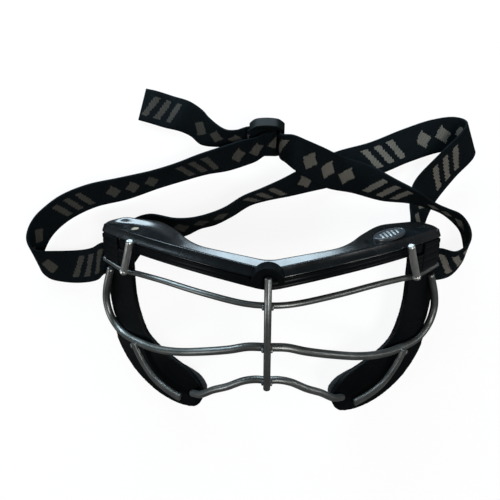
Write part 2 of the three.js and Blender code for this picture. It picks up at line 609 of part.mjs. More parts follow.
const upperRoom = tube(upperPath, UPPER_WIRE_RADIUS + FIT_GAP, 10, 48);
const wireRoom = tube(middlePath, MIDDLE_WIRE_RADIUS + FIT_GAP, 12, 72);
const lowerRoom = tube(lowerPath, LOWER_WIRE_RADIUS + FIT_GAP, 10, 40);
const shieldProfile = () => SHIELD_SHARES.map(([across, lift]) => [across, lift * SHIELD_THICKNESS]);
const leans = [];
for (const side of [-1, 1]) {
  const name = side < 0 ? 'left' : 'right';
  const { inner, outer } = sideEdges(side);

  // Side frame: the curved shield down the cheek and the arm with the strap slot are one moulding
  const frame = joined(band(inner, outer, 30, shieldProfile), armPlate(side));
  const rooms = [slotSpace(side), wireRoom, lowerRoom, cheekBar(side, FIT_GAP)];
  addPart(goggles, `${name}_side_frame`, cutFrom(frame, ...rooms), MATT_BLACK);

  // Cheek pad: foam on the head's side of the side frame
  const padBase = SHIELD_THICKNESS * SHIELD_CREST_SHARE + FIT_GAP;
  const padSteps = 24;
  const padSpan = PAD_END_SHARE - PAD_START_SHARE;
  const padEdges = [inner, outer].map((edge) => {
    const curve = new THREE.CatmullRomCurve3(edge, false, 'centripetal');
    return Array.from({ length: padSteps + 1 }, (unused, i) => curve
      .getPoint(PAD_START_SHARE + (padSpan * i) / padSteps));
  });
  const padProfile = (share) => {
    const endShare = Math.abs(share * 2 - 1) ** PAD_END_POWER;
    const depth = PAD_THICKNESS * tableValue(PAD_DEPTH_SHARES, share) * (1 - endShare * PAD_TAPER_SHARE);
    return CHEEK_PAD_SHARES.map(([across, lift]) => [
      PAD_INNER_SHARE + (PAD_OUTER_SHARE - PAD_INNER_SHARE) * across,
      -side * (padBase + depth * lift),
    ]);
  };
  const pad = band(...padEdges, padSteps, padProfile);
  leans.push(leanOnto(pad));
  const padRooms = [armPlate(side, FIT_GAP), wireRoom, lowerRoom];
  addPart(goggles, `${name}_cheek_pad`, cutFrom(pad, ...padRooms), FOAM_BLACK);

  // Temple block
  const spans = [blockInnerSpan, FRAME_HALF_WIDTH].map((span) => side * span);
  const block = alongBrow(Math.min(...spans), Math.max(...spans), 6, blockProfile);
  addPart(goggles, `${name}_temple_block`, cutFrom(block, upperRoom, wireRoom), GLOSS_BLACK);

  // Short post from the brow down to the upper wire
  const postPath = POST_SHARES.map((share) => mirrored(facePoint(share), side));
  addPart(goggles, `${name}_post`, tube(postPath, POST_RADIUS, 12, 10), GRAPHITE);

  // Flat bar from the middle wire down into the side frame
  addPart(goggles, `${name}_cheek_bar`, cutFrom(cheekBar(side, 0), wireRoom), GRAPHITE);
}

// The goggles lie back on the rear corners of their arms and on their cheek pads
const lean = Math.min(...leans);
goggles.rotation.x = lean - Math.PI / 2;
goggles.position.z = armRearDepth * Math.cos(lean) + ARM_BOTTOM_DROP * Math.sin(lean);

// Strap: stations on the table, in the row frame
const webbingHalf = WEBBING_THICKNESS / 2;
const webbingProfile = () => [[0, -webbingHalf], [0, webbingHalf], [1, webbingHalf], [1, -webbingHalf]];
function station(values) {
  const low = new THREE.Vector3(...values.slice(0, 3)).multiplyScalar(strapReach);
  const high = new THREE.Vector3(...values.slice(3)).multiplyScalar(strapReach);
  const across = high.sub(low).normalize();
  return { low, high: low.clone().addScaledVector(across, WEBBING_WIDTH) };
}
function webbing(stations, steps) {
  const lower = stations.map(({ low }) => low);
  const upper = stations.map(({ high }) => high);
  return band(lower, upper, steps, webbingProfile);
}

// Where the strap runs through a slot, at a distance out from the arm
function slotStation(side, out) {
  const edges = [-1, 1].map((edgeSide) => {
    const drop = -slotDrop + (edgeSide * WEBBING_WIDTH) / 2;
    const point = new THREE.Vector3(side * (armSpan + out), slotDepth, drop);
    return point.applyEuler(goggles.rotation).add(goggles.position);
  });
  return { low: edges[0], high: edges[1] };
}

// Straight stretch of the strap through the slider, along X
const sliderPlace = new THREE.Vector3(...SLIDER_PLACE_SHARES).multiplyScalar(strapReach);
const sliderAcross = new THREE.Vector3(0, Math.cos(SLIDER_LEAN), Math.sin(SLIDER_LEAN));
function sliderStation(along) {
  const middle = sliderPlace.clone().setX(sliderPlace.x + along);
  const low = middle.clone().addScaledVector(sliderAcross, -BUNCHED_WIDTH / 2);
  return { low, high: low.clone().addScaledVector(sliderAcross, BUNCHED_WIDTH) };
}
const straightEnd = SLIDER_LENGTH / 2;
const straightStart = -straightEnd - SLIDER_TRAVEL;
const straightAlongs = [
  straightEnd, straightEnd - SLOT_CLEARANCE, straightStart, straightStart - SLOT_CLEARANCE,
];
const straightStations = straightAlongs.map(sliderStation);

const slotReach = ARM_THICKNESS * 2;
const rightRun = [
  slotStation(1, 0), slotStation(1, slotReach),
  ...RIGHT_RUN_SHARES.map(station).reverse(),
  ...straightStations,
  ...TAIL_SHARES.map(station),
];
addPart(root, 'strap_right_run', webbing(rightRun, 96), WEBBING_BLACK);

const backRun = [
  slotStation(-1, -slotReach), ...BACK_RUN_SHARES.map(station), slotStation(1, -slotReach),
];
addPart(root, 'strap_back_run', webbing(backRun, 96), WEBBING_BLACK);

// Sewn end: the left run is folded round the slider's middle bar and stitched to itself
const layerGap = webbingHalf + FIT_GAP;
const loopLow = layerGap + webbingHalf;
const middleBarLow = loopLow + webbingHalf + FIT_GAP;
const middleBarHigh = middleBarLow + SLIDER_BAR_THICKNESS;
const middleBarAlong = SLIDER_BAR_WIDTH * MIDDLE_BAR_SHIFT_SHARE;
const seamAlong = -SLIDER_LENGTH / 2;

const leftRun = [
  slotStation(-1, 0), slotStation(-1, slotReach), ...LEFT_RUN_SHARES.map(station),
];
addPart(root, 'strap_left_run', webbing(leftRun, 80), WEBBING_BLACK);

// Outline across the slider, drawn along the strap and off it towards the viewer
function acrossSlider(shape, width, centre) {
  const solid = new THREE.ExtrudeGeometry(shape, { depth: width, bevelEnabled: false, curveSegments: 5 });
  solid.translate(0, 0, -centre - width / 2);
  solid.rotateX(Math.PI / 2 + SLIDER_LEAN);
  return solid;
}
function roundedShape(left, right, low, high, radius) {
  const shape = new THREE.Shape();
  shape.moveTo(left + radius, low);
  shape.lineTo(right - radius, low);
  shape.absarc(right - radius, low + radius, radius, -Math.PI / 2, 0);
  shape.absarc(right - radius, high - radius, radius, 0, Math.PI / 2);
  shape.absarc(left + radius, high - radius, radius, Math.PI / 2, Math.PI);
  shape.absarc(left + radius, low + radius, radius, Math.PI, Math.PI * 1.5);
  return shape;
}

const slider = new THREE.Group();
slider.name = 'slider_group';
slider.position.copy(sliderPlace);
root.add(slider);

const halfLength = SLIDER_LENGTH / 2;
const endBarHigh = -layerGap;
const endBarLow = endBarHigh - SLIDER_BAR_THICKNESS;
const railRadius = SLIDER_BAR_WIDTH;
const railCentre = (BUNCHED_WIDTH + SLOT_CLEARANCE + SLIDER_RAIL_WIDTH) / 2;
const railShape = roundedShape(-halfLength, halfLength, endBarLow, middleBarHigh, railRadius);
const barRadius = SLIDER_BAR_THICKNESS * SLIDER_CORNER_SHARE;
const barShape = (middle, low) => roundedShape(
  middle - SLIDER_BAR_WIDTH / 2, middle + SLIDER_BAR_WIDTH / 2, low, low + SLIDER_BAR_THICKNESS, barRadius,
);
const endBarAlong = halfLength - SLIDER_BAR_WIDTH / 2 - railRadius * END_BAR_INSET_SHARE;
const barSpan = railCentre * 2;
const sliderSolid = joined(
  acrossSlider(railShape, SLIDER_RAIL_WIDTH, railCentre),
  acrossSlider(railShape, SLIDER_RAIL_WIDTH, -railCentre),
  acrossSlider(barShape(-endBarAlong, endBarLow), barSpan, 0),
  acrossSlider(barShape(endBarAlong, endBarLow), barSpan, 0),
  acrossSlider(barShape(middleBarAlong, middleBarLow), barSpan, 0),
);
const outerSpan = railCentre + SLIDER_RAIL_WIDTH / 2;
const outline = roundedShape(-halfLength, halfLength, -outerSpan, outerSpan, SLIDER_OUTER_RADIUS);
const blank = new THREE.ExtrudeGeometry(outline, {
  depth: middleBarHigh - endBarLow, bevelEnabled: false, curveSegments: 8,
});
blank.translate(0, 0, endBarLow);
blank.rotateX(SLIDER_LEAN);
addPart(slider, 'strap_slider', asGeometry(asSolid(sliderSolid).intersect(asSolid(blank))), GLOSS_BLACK);

const sewnEndStart = seamAlong - SEAM_LENGTH;
const layersLow = loopLow - webbingHalf;
const layersHigh = layersLow + WEBBING_THICKNESS * 2;
const turnAlong = middleBarAlong + SLIDER_BAR_WIDTH / 2 - FIT_GAP;
const turnOff = (middleBarLow + middleBarHigh) / 2;
const outerTurn = turnOff - layersLow;
const innerTurn = outerTurn - WEBBING_THICKNESS;
const joinAlong = middleBarAlong - SLIDER_BAR_WIDTH * SEWN_LOOP_SHARE;
const backOfBar = middleBarAlong - SLIDER_BAR_WIDTH / 2;
const sewnShape = new THREE.Shape();
sewnShape.moveTo(sewnEndStart, layersLow);
sewnShape.lineTo(turnAlong, layersLow);
sewnShape.absarc(turnAlong, turnOff, outerTurn, -Math.PI / 2, Math.PI / 2);
sewnShape.lineTo(backOfBar, turnOff + outerTurn);
sewnShape.lineTo(joinAlong, layersHigh);
sewnShape.lineTo(sewnEndStart, layersHigh);
const sewnHollow = new THREE.Path();
sewnHollow.moveTo(joinAlong + WEBBING_THICKNESS, turnOff - innerTurn);
sewnHollow.lineTo(turnAlong, turnOff - innerTurn);
sewnHollow.absarc(turnAlong, turnOff, innerTurn, -Math.PI / 2, Math.PI / 2);
sewnHollow.lineTo(backOfBar, turnOff + innerTurn);
sewnShape.holes.push(sewnHollow);
addPart(slider, 'strap_sewn_end', acrossSlider(sewnShape, BUNCHED_WIDTH, 0), WEBBING_BLACK);

// The origin is on the table, under the middle of the whole object
const extent = new THREE.Box3().setFromObject(root, true);
const extentMiddle = extent.getCenter(new THREE.Vector3());
root.position.set(-extentMiddle.x, -extentMiddle.y, -extent.min.z);

export default root;
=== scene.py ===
import math

import bpy
import numpy as np
from mathutils import Matrix, Vector, noise


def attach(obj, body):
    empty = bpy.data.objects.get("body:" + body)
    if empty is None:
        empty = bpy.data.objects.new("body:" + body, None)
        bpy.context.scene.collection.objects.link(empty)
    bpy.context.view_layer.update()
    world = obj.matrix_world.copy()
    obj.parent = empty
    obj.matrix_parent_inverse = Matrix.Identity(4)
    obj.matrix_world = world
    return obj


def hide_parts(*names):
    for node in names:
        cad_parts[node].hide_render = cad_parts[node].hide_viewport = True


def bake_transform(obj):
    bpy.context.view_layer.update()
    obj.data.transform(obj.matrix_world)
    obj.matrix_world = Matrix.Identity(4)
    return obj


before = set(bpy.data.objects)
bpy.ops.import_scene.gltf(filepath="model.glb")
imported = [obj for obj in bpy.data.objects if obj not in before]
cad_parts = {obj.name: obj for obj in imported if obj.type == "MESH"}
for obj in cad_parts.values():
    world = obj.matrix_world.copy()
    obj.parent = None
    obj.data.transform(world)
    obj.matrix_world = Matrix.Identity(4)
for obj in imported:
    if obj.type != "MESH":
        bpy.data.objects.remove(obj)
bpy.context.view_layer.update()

# Table, backdrop, daylight and camera
# The goggles lie on a plain white table, lit from all sides by low soft lamps, so that what faces
# straight up stays dark. The camera looks almost straight down, rolled by one degree.
CAMERA_TARGET = Vector((-0.0010, -0.0047, 0.0160))
CAMERA_DISTANCE = 0.2969
CAMERA_TILT = (math.radians(2.19), math.radians(-3.59))
CAMERA_ROLL = math.radians(1.10)
FOCAL_PIXELS = 560.0
PICTURE_PIXELS = 500.0
SENSOR = 36.0
TABLE_SIZE, TABLE_COLOUR = 4.0, (0.86, 0.86, 0.86)
# How much of the table's look to the camera is plain white, how bright mirrors see the table and
# the room, and the faint light that the room sends in from all sides.
PLAIN_WHITE, MIRRORED_TABLE, MIRRORED_ROOM, FILL = 0.9, 0.17, 0.08, 0.06
# Each lamp's name, size, place, aim, power in watts and colour.
LAMPS = (
    ("window", (1.16, 0.21), (-0.20, 0.62, 0.175), (0, 0, 0.04), 17.5, (0.70, 0.88, 1.0)),
    ("overhead", (0.26, 0.26), (0.30, -0.30, 0.85), (0, 0, 0.02), 5.5, (1.0, 0.99, 0.97)),
    ("left_lamp", (0.12, 0.3), (-0.70, -0.30, 0.36), (0, 0, 0.02), 2.0, (0.95, 0.98, 1.0)),
    ("right_lamp", (0.12, 0.3), (0.74, 0.0, 0.34), (0, 0, 0.02), 1.5, (0.97, 0.99, 1.0)))


class Reading:
    """A number or colour that a material works out, on which sums and products can be written."""

    def __init__(self, network, socket):
        self.network, self.socket = network, socket

    def _maths(self, operation, *values):
        return self.network.node("ShaderNodeMath", {"operation": operation}, dict(enumerate(values)))

    def __add__(self, other):
        return self._maths("ADD", self, other)

    def __sub__(self, other):
        return self._maths("SUBTRACT", self, other)

    def __rsub__(self, other):
        return self._maths("SUBTRACT", other, self)

    def __mul__(self, other):
        return self._maths("MULTIPLY", self, other)

    def __truediv__(self, other):
        return self._maths("DIVIDE", self, other)

    def __mod__(self, other):
        return self._maths("FLOORED_MODULO", self, other)

    def __gt__(self, other):
        return self._maths("GREATER_THAN", self, other)

    def __lt__(self, other):
        return self._maths("LESS_THAN", self, other)

    __radd__ = __add__
    __rmul__ = __mul__

    def size(self):
        return self._maths("ABSOLUTE", self)

    def floor(self):
        return self._maths("FLOOR", self)

    def sine(self):
        return self._maths("SINE", self)

    def lesser(self, other):
        return self._maths("MINIMUM", self, other)

    def greater(self, other):
        return self._maths("MAXIMUM", self, other)

    def ramp(self, low, high):
        """From 0 at low to 1 at high, eased at both ends."""
        return self.network.node("ShaderNodeMapRange", {"interpolation_type": "SMOOTHSTEP"},
                                 {"Value": self, "From Min": low, "From Max": high})


class Network:
    """The shader nodes of a material or of the room."""

    def __init__(self, tree):
        self.tree = tree

    def node(self, kind, settings=None, sockets=None, output=0):
        made = self.tree.nodes.new(kind)
        for name, value in (settings or {}).items():
            setattr(made, name, value)
        for name, value in (sockets or {}).items():
            self.feed(made.inputs[name], value)
        return Reading(self, made.outputs[output])

    def feed(self, socket, value):
        if isinstance(value, Reading):
            self.tree.links.new(value.socket, socket)
        elif hasattr(value, "__len__") and len(value) == 3 and socket.type == "RGBA":
            socket.default_value = (*value, 1)
        else:
            socket.default_value = value

    def rays(self):
        """Whether a ray comes from the camera, and whether it comes off a mirror or through glass."""
        paths = self.tree.nodes.new("ShaderNodeLightPath")
        looked_at, glossy, through = (Reading(self, paths.outputs[f"Is {kind} Ray"])
                                      for kind in ("Camera", "Glossy", "Transmission"))
        return looked_at, glossy.greater(through)


class Finish(Network):
    """A material for one kind of surface of the goggles."""

    def __init__(self, name, **constants):
        self.material = bpy.data.materials.new(name)
        self.material.use_nodes = True
        super().__init__(self.material.node_tree)
        self.shader = self.tree.nodes["Principled BSDF"]
        self.here = self.node("ShaderNodeTexCoord", output=3)
        for socket, value in constants.items():
            self.shader.inputs[socket.replace("_", " ")].default_value = value

    def set(self, **readings):
        for name, value in readings.items():
            self.feed(self.shader.inputs[name.replace("_", " ")], value)

    def axes(self, place):
        split = self.tree.nodes.new("ShaderNodeSeparateXYZ")
        self.feed(split.inputs[0], place)
        return [Reading(self, output) for output in split.outputs]

    def grain(self, scale, detail=2.0, roughness=0.5):
        return self.node("ShaderNodeTexNoise", None, {
            "Vector": self.here, "Scale": scale, "Detail": detail, "Roughness": roughness})

    def blend(self, share, first, second):
        return self.node("ShaderNodeMix", {"data_type": "RGBA"}, {0: share, 6: first, 7: second}, 2)

    def relief(self, height, depth, strength=1.0):
        return self.node("ShaderNodeBump", None, {"Height": height, "Distance": depth, "Strength": strength})


bpy.ops.object.select_all(action="DESELECT")
bpy.ops.mesh.primitive_plane_add(size=TABLE_SIZE, location=(0, 0, 0))
table = bpy.context.object
table.name = "table"
paper = Finish("table_white", Base_Color=(*TABLE_COLOUR, 1), Roughness=0.9, Specular_IOR_Level=0.1)
looked_at, mirrored = paper.rays()
glow = paper.tree.nodes.new("ShaderNodeEmission")
paper.feed(glow.inputs["Strength"], looked_at + mirrored * MIRRORED_TABLE)
pick = paper.tree.nodes.new("ShaderNodeMixShader")
paper.feed(pick.inputs[0], looked_at * PLAIN_WHITE + mirrored)
paper.tree.links.new(paper.shader.outputs[0], pick.inputs[1])
paper.tree.links.new(glow.outputs[0], pick.inputs[2])
paper.tree.links.new(pick.outputs[0], paper.tree.nodes["Material Output"].inputs["Surface"])
table.data.materials.append(paper.material)

for name, size, place, aim, power, colour in LAMPS:
    bpy.ops.object.light_add(type="AREA", location=place)
    lamp = bpy.context.object
    lamp.name = name
    lamp.data.shape = "RECTANGLE"
    lamp.data.size, lamp.data.size_y = size
    lamp.data.energy = power
    lamp.data.color = colour
    lamp.rotation_euler = (Vector(aim) - Vector(place)).to_track_quat("-Z", "Y").to_euler()
room = bpy.data.worlds.new("room")
room.use_nodes = True
around = Network(room.node_tree)
looked_at, mirrored = around.rays()
backdrop = around.tree.nodes["Background"]
backdrop.inputs["Color"].default_value = (1.0, 1.0, 1.0, 1)
around.feed(backdrop.inputs["Strength"], looked_at.greater(mirrored * MIRRORED_ROOM).greater(FILL))
bpy.context.scene.world = room

back = Vector((math.tan(CAMERA_TILT[0]), math.tan(CAMERA_TILT[1]), 1)).normalized()
level = Vector((0, 1, 0)).cross(back).normalized()
upright = back.cross(level)
right = level * math.cos(CAMERA_ROLL) + upright * math.sin(CAMERA_ROLL)
up = upright * math.cos(CAMERA_ROLL) - level * math.sin(CAMERA_ROLL)
bpy.ops.object.camera_add()
camera = bpy.context.object
camera.name = "camera"
camera.matrix_world = Matrix.Translation(CAMERA_TARGET + back * CAMERA_DISTANCE) @ Matrix(
    (right, up, back)).transposed().to_4x4()
camera.data.sensor_width = SENSOR
camera.data.lens = SENSOR * FOCAL_PIXELS / PICTURE_PIXELS
camera.data.clip_start = 0.01
bpy.context.scene.camera = camera
bpy.context.scene.view_settings.view_transform = "Standard"

# Cage wires
# Steel rod, bent to the wrap of the face, welded and powder coated in satin graphite grey.
# The wires' bends are given as shares of the half width, the face's height and the wrap's depth.
# GAP is the clearance between neighbouring pieces, in millimetres like the other sizes below.
MM, GAP, SIDES = 0.001, 0.3, ((-1, "left"), (1, "right"))
HALF_WIDTH, WRAP_DEPTH, WRAP_POWER, FACE_HEIGHT = 87.0, 52.0, 1.7, 90.0
BROW_ARCH, BROW_ARCH_POWER, BROW_SOFT_SPAN = 3.8, 0.8, 6.0
LEAN = 0.4973030972719654
LEAN_HEIGHT = 74.6020377701244
ROW_SHIFT = (9.241931915283203, -18.271783016045887)
UPPER_RADIUS, MIDDLE_RADIUS, LOWER_RADIUS = 1.45, 2.0, 1.8
CENTER_RADIUS, POST_RADIUS = 1.65, 1.8
UPPER_WIRE = [
    (0, 0.174, 0), (0.12, 0.174, 0), (0.345, 0.165, 0.005), (0.575, 0.174, 0.015),
    (0.736, 0.203, 0.03), (0.851, 0.228, 0.03), (1, 0.224, 0.03)]
MIDDLE_WIRE = [
    (0, 0.417, 0.004), (0.1, 0.424, 0.002), (0.2, 0.457, -0.01), (0.345, 0.509, -0.02),
    (0.517, 0.581, -0.02), (0.667, 0.632, -0.02), (0.805, 0.658, -0.02), (0.92, 0.659, -0.02),
    (0.995, 0.606, -0.02), (1.022, 0.515, -0.02), (1.01, 0.415, 0), (0.97, 0.287, 0.06)]
LOWER_WIRE = [
    (0, 0.62, 0), (0.06, 0.62, 0), (0.126, 0.641, 0), (0.218, 0.702, 0),
    (0.3, 0.754, 0.005), (0.379, 0.824, 0.02), (0.437, 0.865, 0.07)]
POST = [(0.763, -0.004, -0.056), (0.792, 0.09, -0.066), (0.832, 0.209, -0.068)]
BAR_TOP, POST_STEPS = -0.45, 24
# Each wire's name, bends, radius and number of steps along it.
WIRES = (("upper", UPPER_WIRE, UPPER_RADIUS, 160), ("middle", MIDDLE_WIRE, MIDDLE_RADIUS, 240),
         ("lower", LOWER_WIRE, LOWER_RADIUS, 140))
ROD_SIDES, ROD_END_REACH, ROD_END_TAPER = 5, 0.25, 0.7


def face_depth(x):
    return WRAP_DEPTH * (abs(x) / HALF_WIDTH) ** WRAP_POWER


def face_angle(x):
    share = abs(x) / HALF_WIDTH
    return math.atan(math.copysign(WRAP_POWER * WRAP_DEPTH / HALF_WIDTH * share ** (WRAP_POWER - 1), x))


def brow_line(x):
    """The brow's height, dipping to the bridge in a soft curve."""
    across = max(abs(x), (x * x / BROW_SOFT_SPAN + BROW_SOFT_SPAN) / 2 if abs(x) < BROW_SOFT_SPAN else 0)
    return BROW_ARCH * math.sin(math.pi * min(across / HALF_WIDTH, 1) ** BROW_ARCH_POWER)


def laid(x, depth, height):
    """A place on the standing goggles, in millimetres, as they lie on the table, in metres."""
    return Vector((
        x + ROW_SHIFT[0],
        depth * math.sin(LEAN) + height * math.cos(LEAN) + ROW_SHIFT[1],
        height * math.sin(LEAN) - depth * math.cos(LEAN) + LEAN_HEIGHT)) * MM


def on_face(shares, side=1):
    across, drop, behind = shares
    x = across * HALF_WIDTH
    return laid(side * x, face_depth(x) + behind * WRAP_DEPTH, -drop * FACE_HEIGHT)


def from_side_to_side(half):
    return [on_face(p, -1) for p in half[:0:-1]] + [on_face(p) for p in half]


def smooth_point(points, share):
    """A place along the smooth curve through points, evenly timed from one to the next."""
    last = len(points) - 1
    at = min(int(share * last), last - 1)
    t = share * last - at
    p1, p2 = points[at], points[at + 1]
    p0 = points[at - 1] if at else p1 * 2 - p2
    p3 = points[at + 2] if at + 2 <= last else p2 * 2 - p1
    d0, d1, d2 = (max((b - a).length ** 0.5, 1e-6) for a, b in ((p0, p1), (p1, p2), (p2, p3)))
    slope1 = ((p1 - p0) / d0 - (p2 - p0) / (d0 + d1) + (p2 - p1) / d1) * d1
    slope2 = ((p2 - p1) / d1 - (p3 - p1) / (d1 + d2) + (p3 - p2) / d2) * d1
    return (p1 * (2 * t ** 3 - 3 * t ** 2 + 1) + p2 * (3 * t ** 2 - 2 * t ** 3)
            + slope1 * (t ** 3 - 2 * t ** 2 + t) + slope2 * (t ** 3 - t ** 2))


def smooth_path(points, count):
    return [smooth_point(points, i / count) for i in range(count + 1)]


def deselect():
    bpy.ops.object.select_all(action="DESELECT")


def alone(piece):
    deselect()
    bpy.context.view_layer.objects.active = piece
    piece.select_set(True)


def apply(piece, kind, **settings):
    alone(piece)
    made = piece.modifiers.new(kind.lower(), kind)
    for name, value in settings.items():
        setattr(made, name, value)
    bpy.ops.object.modifier_apply(modifier=made.name)


def round_edges(piece, width, segments, angle):
    """Bevel, width in millimetres, on every edge that turns by more than the angle in degrees."""
    apply(piece, "BEVEL", width=width * MM, segments=segments, limit_method="ANGLE",
          angle_limit=math.radians(angle))


def settle():
    """The active piece's place, turn and size moved into its points."""
    bpy.ops.object.transform_apply(location=True, rotation=True, scale=True)


def grid(name, columns, rows):
    """A new grid, and each of its points with its column and row."""
    deselect()
    bpy.ops.mesh.primitive_grid_add(x_subdivisions=columns, y_subdivisions=rows, size=1)
    made = bpy.context.object
    made.name = name
    return made, [(vertex, round((vertex.co.x + 0.5) * columns), round((vertex.co.y + 0.5) * rows))
                  for vertex in made.data.vertices]


def finish_piece(piece, finish, slot, *nodes, body="goggles_and_strap", smooth=None):
    piece.data.materials.clear()
    piece.data.materials.append(finish.material)
    if smooth is not None:
        alone(piece)
        if smooth:
            bpy.ops.object.shade_smooth_by_angle(angle=math.radians(smooth))
        else:
            bpy.ops.object.shade_smooth()
    if body:
        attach(piece, body)
    if nodes:
        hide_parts(*nodes)


def bent_rod(name, path, radius):
    """Round rod along a path, with its ends cut square and slightly rounded."""
    deselect()
    bpy.ops.curve.primitive_bezier_curve_add()
    rod = bpy.context.object
    rod.name = name
    rod.data.splines.clear()
    spline = rod.data.splines.new("POLY")
    ends = [path[0], *path, path[-1]]
    ends[0] = path[0] - (path[1] - path[0]).normalized() * radius * ROD_END_REACH
    ends[-1] = path[-1] + (path[-1] - path[-2]).normalized() * radius * ROD_END_REACH
    spline.points.add(len(ends) - 1)
    for i, (point, place) in enumerate(zip(spline.points, ends)):
        point.co = (*place, 1)
        point.radius = ROD_END_TAPER if i in (0, len(ends) - 1) else 1.0
    rod.data.dimensions = "3D"
    rod.data.bevel_depth = radius
    rod.data.bevel_resolution = ROD_SIDES
    rod.data.use_fill_caps = True
    bpy.ops.object.convert(target="MESH")
    rod = bpy.context.object
    rod.name = name
    return rod


graphite = Finish("satin_graphite", Metallic=0.85)
cast = graphite.grain(900, 3)
wide = graphite.grain(90, 2)
worn = (graphite.grain(420, 4, 0.7) * 0.6 + wide * 0.4).ramp(0.56, 0.72)
coat = graphite.blend(wide.ramp(0.3, 0.7), (0.088, 0.095, 0.092), (0.134, 0.14, 0.136))
graphite.set(
    Base_Color=graphite.blend(worn, coat, (0.2, 0.2, 0.19)),
    Roughness=0.34 + cast * 0.12 - worn * 0.08,
    Normal=graphite.relief(cast + graphite.grain(2600, 2) * 0.5, 0.00002, 0.35))
bright_steel = Finish("bright_steel", Metallic=0.95)
cast = bright_steel.grain(700, 3)
bright_steel.set(Base_Color=bright_steel.blend(cast, (0.3, 0.31, 0.3), (0.5, 0.51, 0.49)),
                 Roughness=0.32 + cast * 0.1, Normal=bright_steel.relief(cast, 0.00001, 0.15))

for word, bends, radius, steps in WIRES:
    wire = bent_rod(f"{word}_wire_rod", smooth_path(from_side_to_side(bends), steps), radius * MM)
    finish_piece(wire, graphite, "wire_graphite", f"{word}_wire", smooth=50)
bar_depth = -(max(UPPER_RADIUS, LOWER_RADIUS) + CENTER_RADIUS + GAP)
bar_bottom = -LOWER_WIRE[0][1] * FACE_HEIGHT - LOWER_RADIUS - GAP
center_bar = bent_rod("center_bar_rod", [laid(0, bar_depth, BAR_TOP), laid(0, bar_depth, bar_bottom)],
                      CENTER_RADIUS * MM)
finish_piece(center_bar, graphite, "wire_graphite", "center_bar", smooth=50)
for side, word in SIDES:
    post = bent_rod(f"{word}_post_rod", smooth_path([on_face(p, side) for p in POST], POST_STEPS),
                    POST_RADIUS * MM)
    finish_piece(post, bright_steel, "wire_graphite", f"{word}_post", smooth=50)

# Weld beads
# Collars at the posts' feet and fillets where the centre bar crosses the wires, uneven as the weld
# metal froze. Each sits on the two rods that it joins. Sizes are in millimetres.
COLLAR_RADIUS, COLLAR_FAR_RADIUS, COLLAR_LENGTH, COLLAR_SETBACK = 2.25, 1.84, 1.6, 0.6
WELD_FILLET, FILLET_SETBACK, LUMP_HEIGHT = (1.3, 0.75, 0.8), 0.35, 0.16
COLLAR_LUMP_HEIGHT, COLLAR_EDGE, COLLAR_SEED, COLLAR_SIDES = 0.18, 0.25, 3, 20
# How many lumps there are to a metre, the large ones and the small ones.
COLLAR_LUMPS, FILLET_LUMPS = (900, 2200), (700, 1500)


def weld_bead(name, place, axis, start, end, length, seed):
    """Collar round a rod: radius start at the joint, radius end at the far side of the collar."""
    deselect()
    axis = axis.normalized()
    turn = axis.to_track_quat("Z", "Y").to_euler()
    bpy.ops.mesh.primitive_cylinder_add(vertices=COLLAR_SIDES, radius=start, depth=length, end_fill_type="NGON",
                                        location=place + axis * length / 2, rotation=turn)
    bead = bpy.context.object
    bead.name = name
    settle()
    far = place + axis * length
    for vertex in bead.data.vertices:
        if (vertex.co - far).dot(axis) > -length * 0.1:
            vertex.co = far + (vertex.co - far) * (end / start)
    apply(bead, "BEVEL", width=length * COLLAR_EDGE, segments=2, limit_method="ANGLE")
    apply(bead, "SUBSURF", levels=2, render_levels=2, subdivision_type="SIMPLE")
    offset = Vector((seed * 3.1, seed * 1.7, seed * 0.9))
    for vertex in bead.data.vertices:
        large, small = (noise.noise(vertex.co * lumps + offset) for lumps in COLLAR_LUMPS)
        away = vertex.co - place - axis * (vertex.co - place).dot(axis)
        if away.length > 1e-6:
            vertex.co += away.normalized() * (large + 0.5 * small) * COLLAR_LUMP_HEIGHT * MM
    return bead


def weld_lump(name, place, along, half_sizes, seed):
    """Frozen bead of weld metal, longer one way, with a lumpy skin."""
    deselect()
    turn = Vector(along).to_track_quat("X", "Z").to_euler()
    bpy.ops.mesh.primitive_ico_sphere_add(subdivisions=4, radius=1.0, location=place, rotation=turn,
                                          scale=[size * MM for size in half_sizes])
    lump = bpy.context.object
    lump.name = name
    settle()
    offset = Vector((seed * 2.3, seed * 0.7, seed * 1.9))
    for vertex in lump.data.vertices:
        away = (vertex.co - place).normalized()
        lumps = noise.noise(vertex.co * FILLET_LUMPS[1] + offset) + noise.noise(vertex.co * FILLET_LUMPS[0])
        vertex.co += away * lumps * LUMP_HEIGHT * MM
    return lump


for side, word in SIDES:
    foot, knee = on_face(POST[2], side), on_face(POST[1], side)
    start = foot + (knee - foot).normalized() * COLLAR_SETBACK * MM
    bead = weld_bead(f"{word}_post_weld", start, knee - foot, COLLAR_RADIUS * MM, COLLAR_FAR_RADIUS * MM,
                     COLLAR_LENGTH * MM, COLLAR_SEED + side)
    finish_piece(bead, bright_steel, "wire_graphite", smooth=60)
for word, bends, radius, steps in WIRES:
    for side, hand in SIDES:
        joint = laid(side * (CENTER_RADIUS + FILLET_SETBACK), -radius - FILLET_SETBACK, -bends[0][1] * FACE_HEIGHT)
        fillet = weld_lump(f"{word}_{hand}_fillet", joint, (0, 1, 0), WELD_FILLET, side + radius)
        finish_piece(fillet, graphite, "wire_graphite", smooth=0)

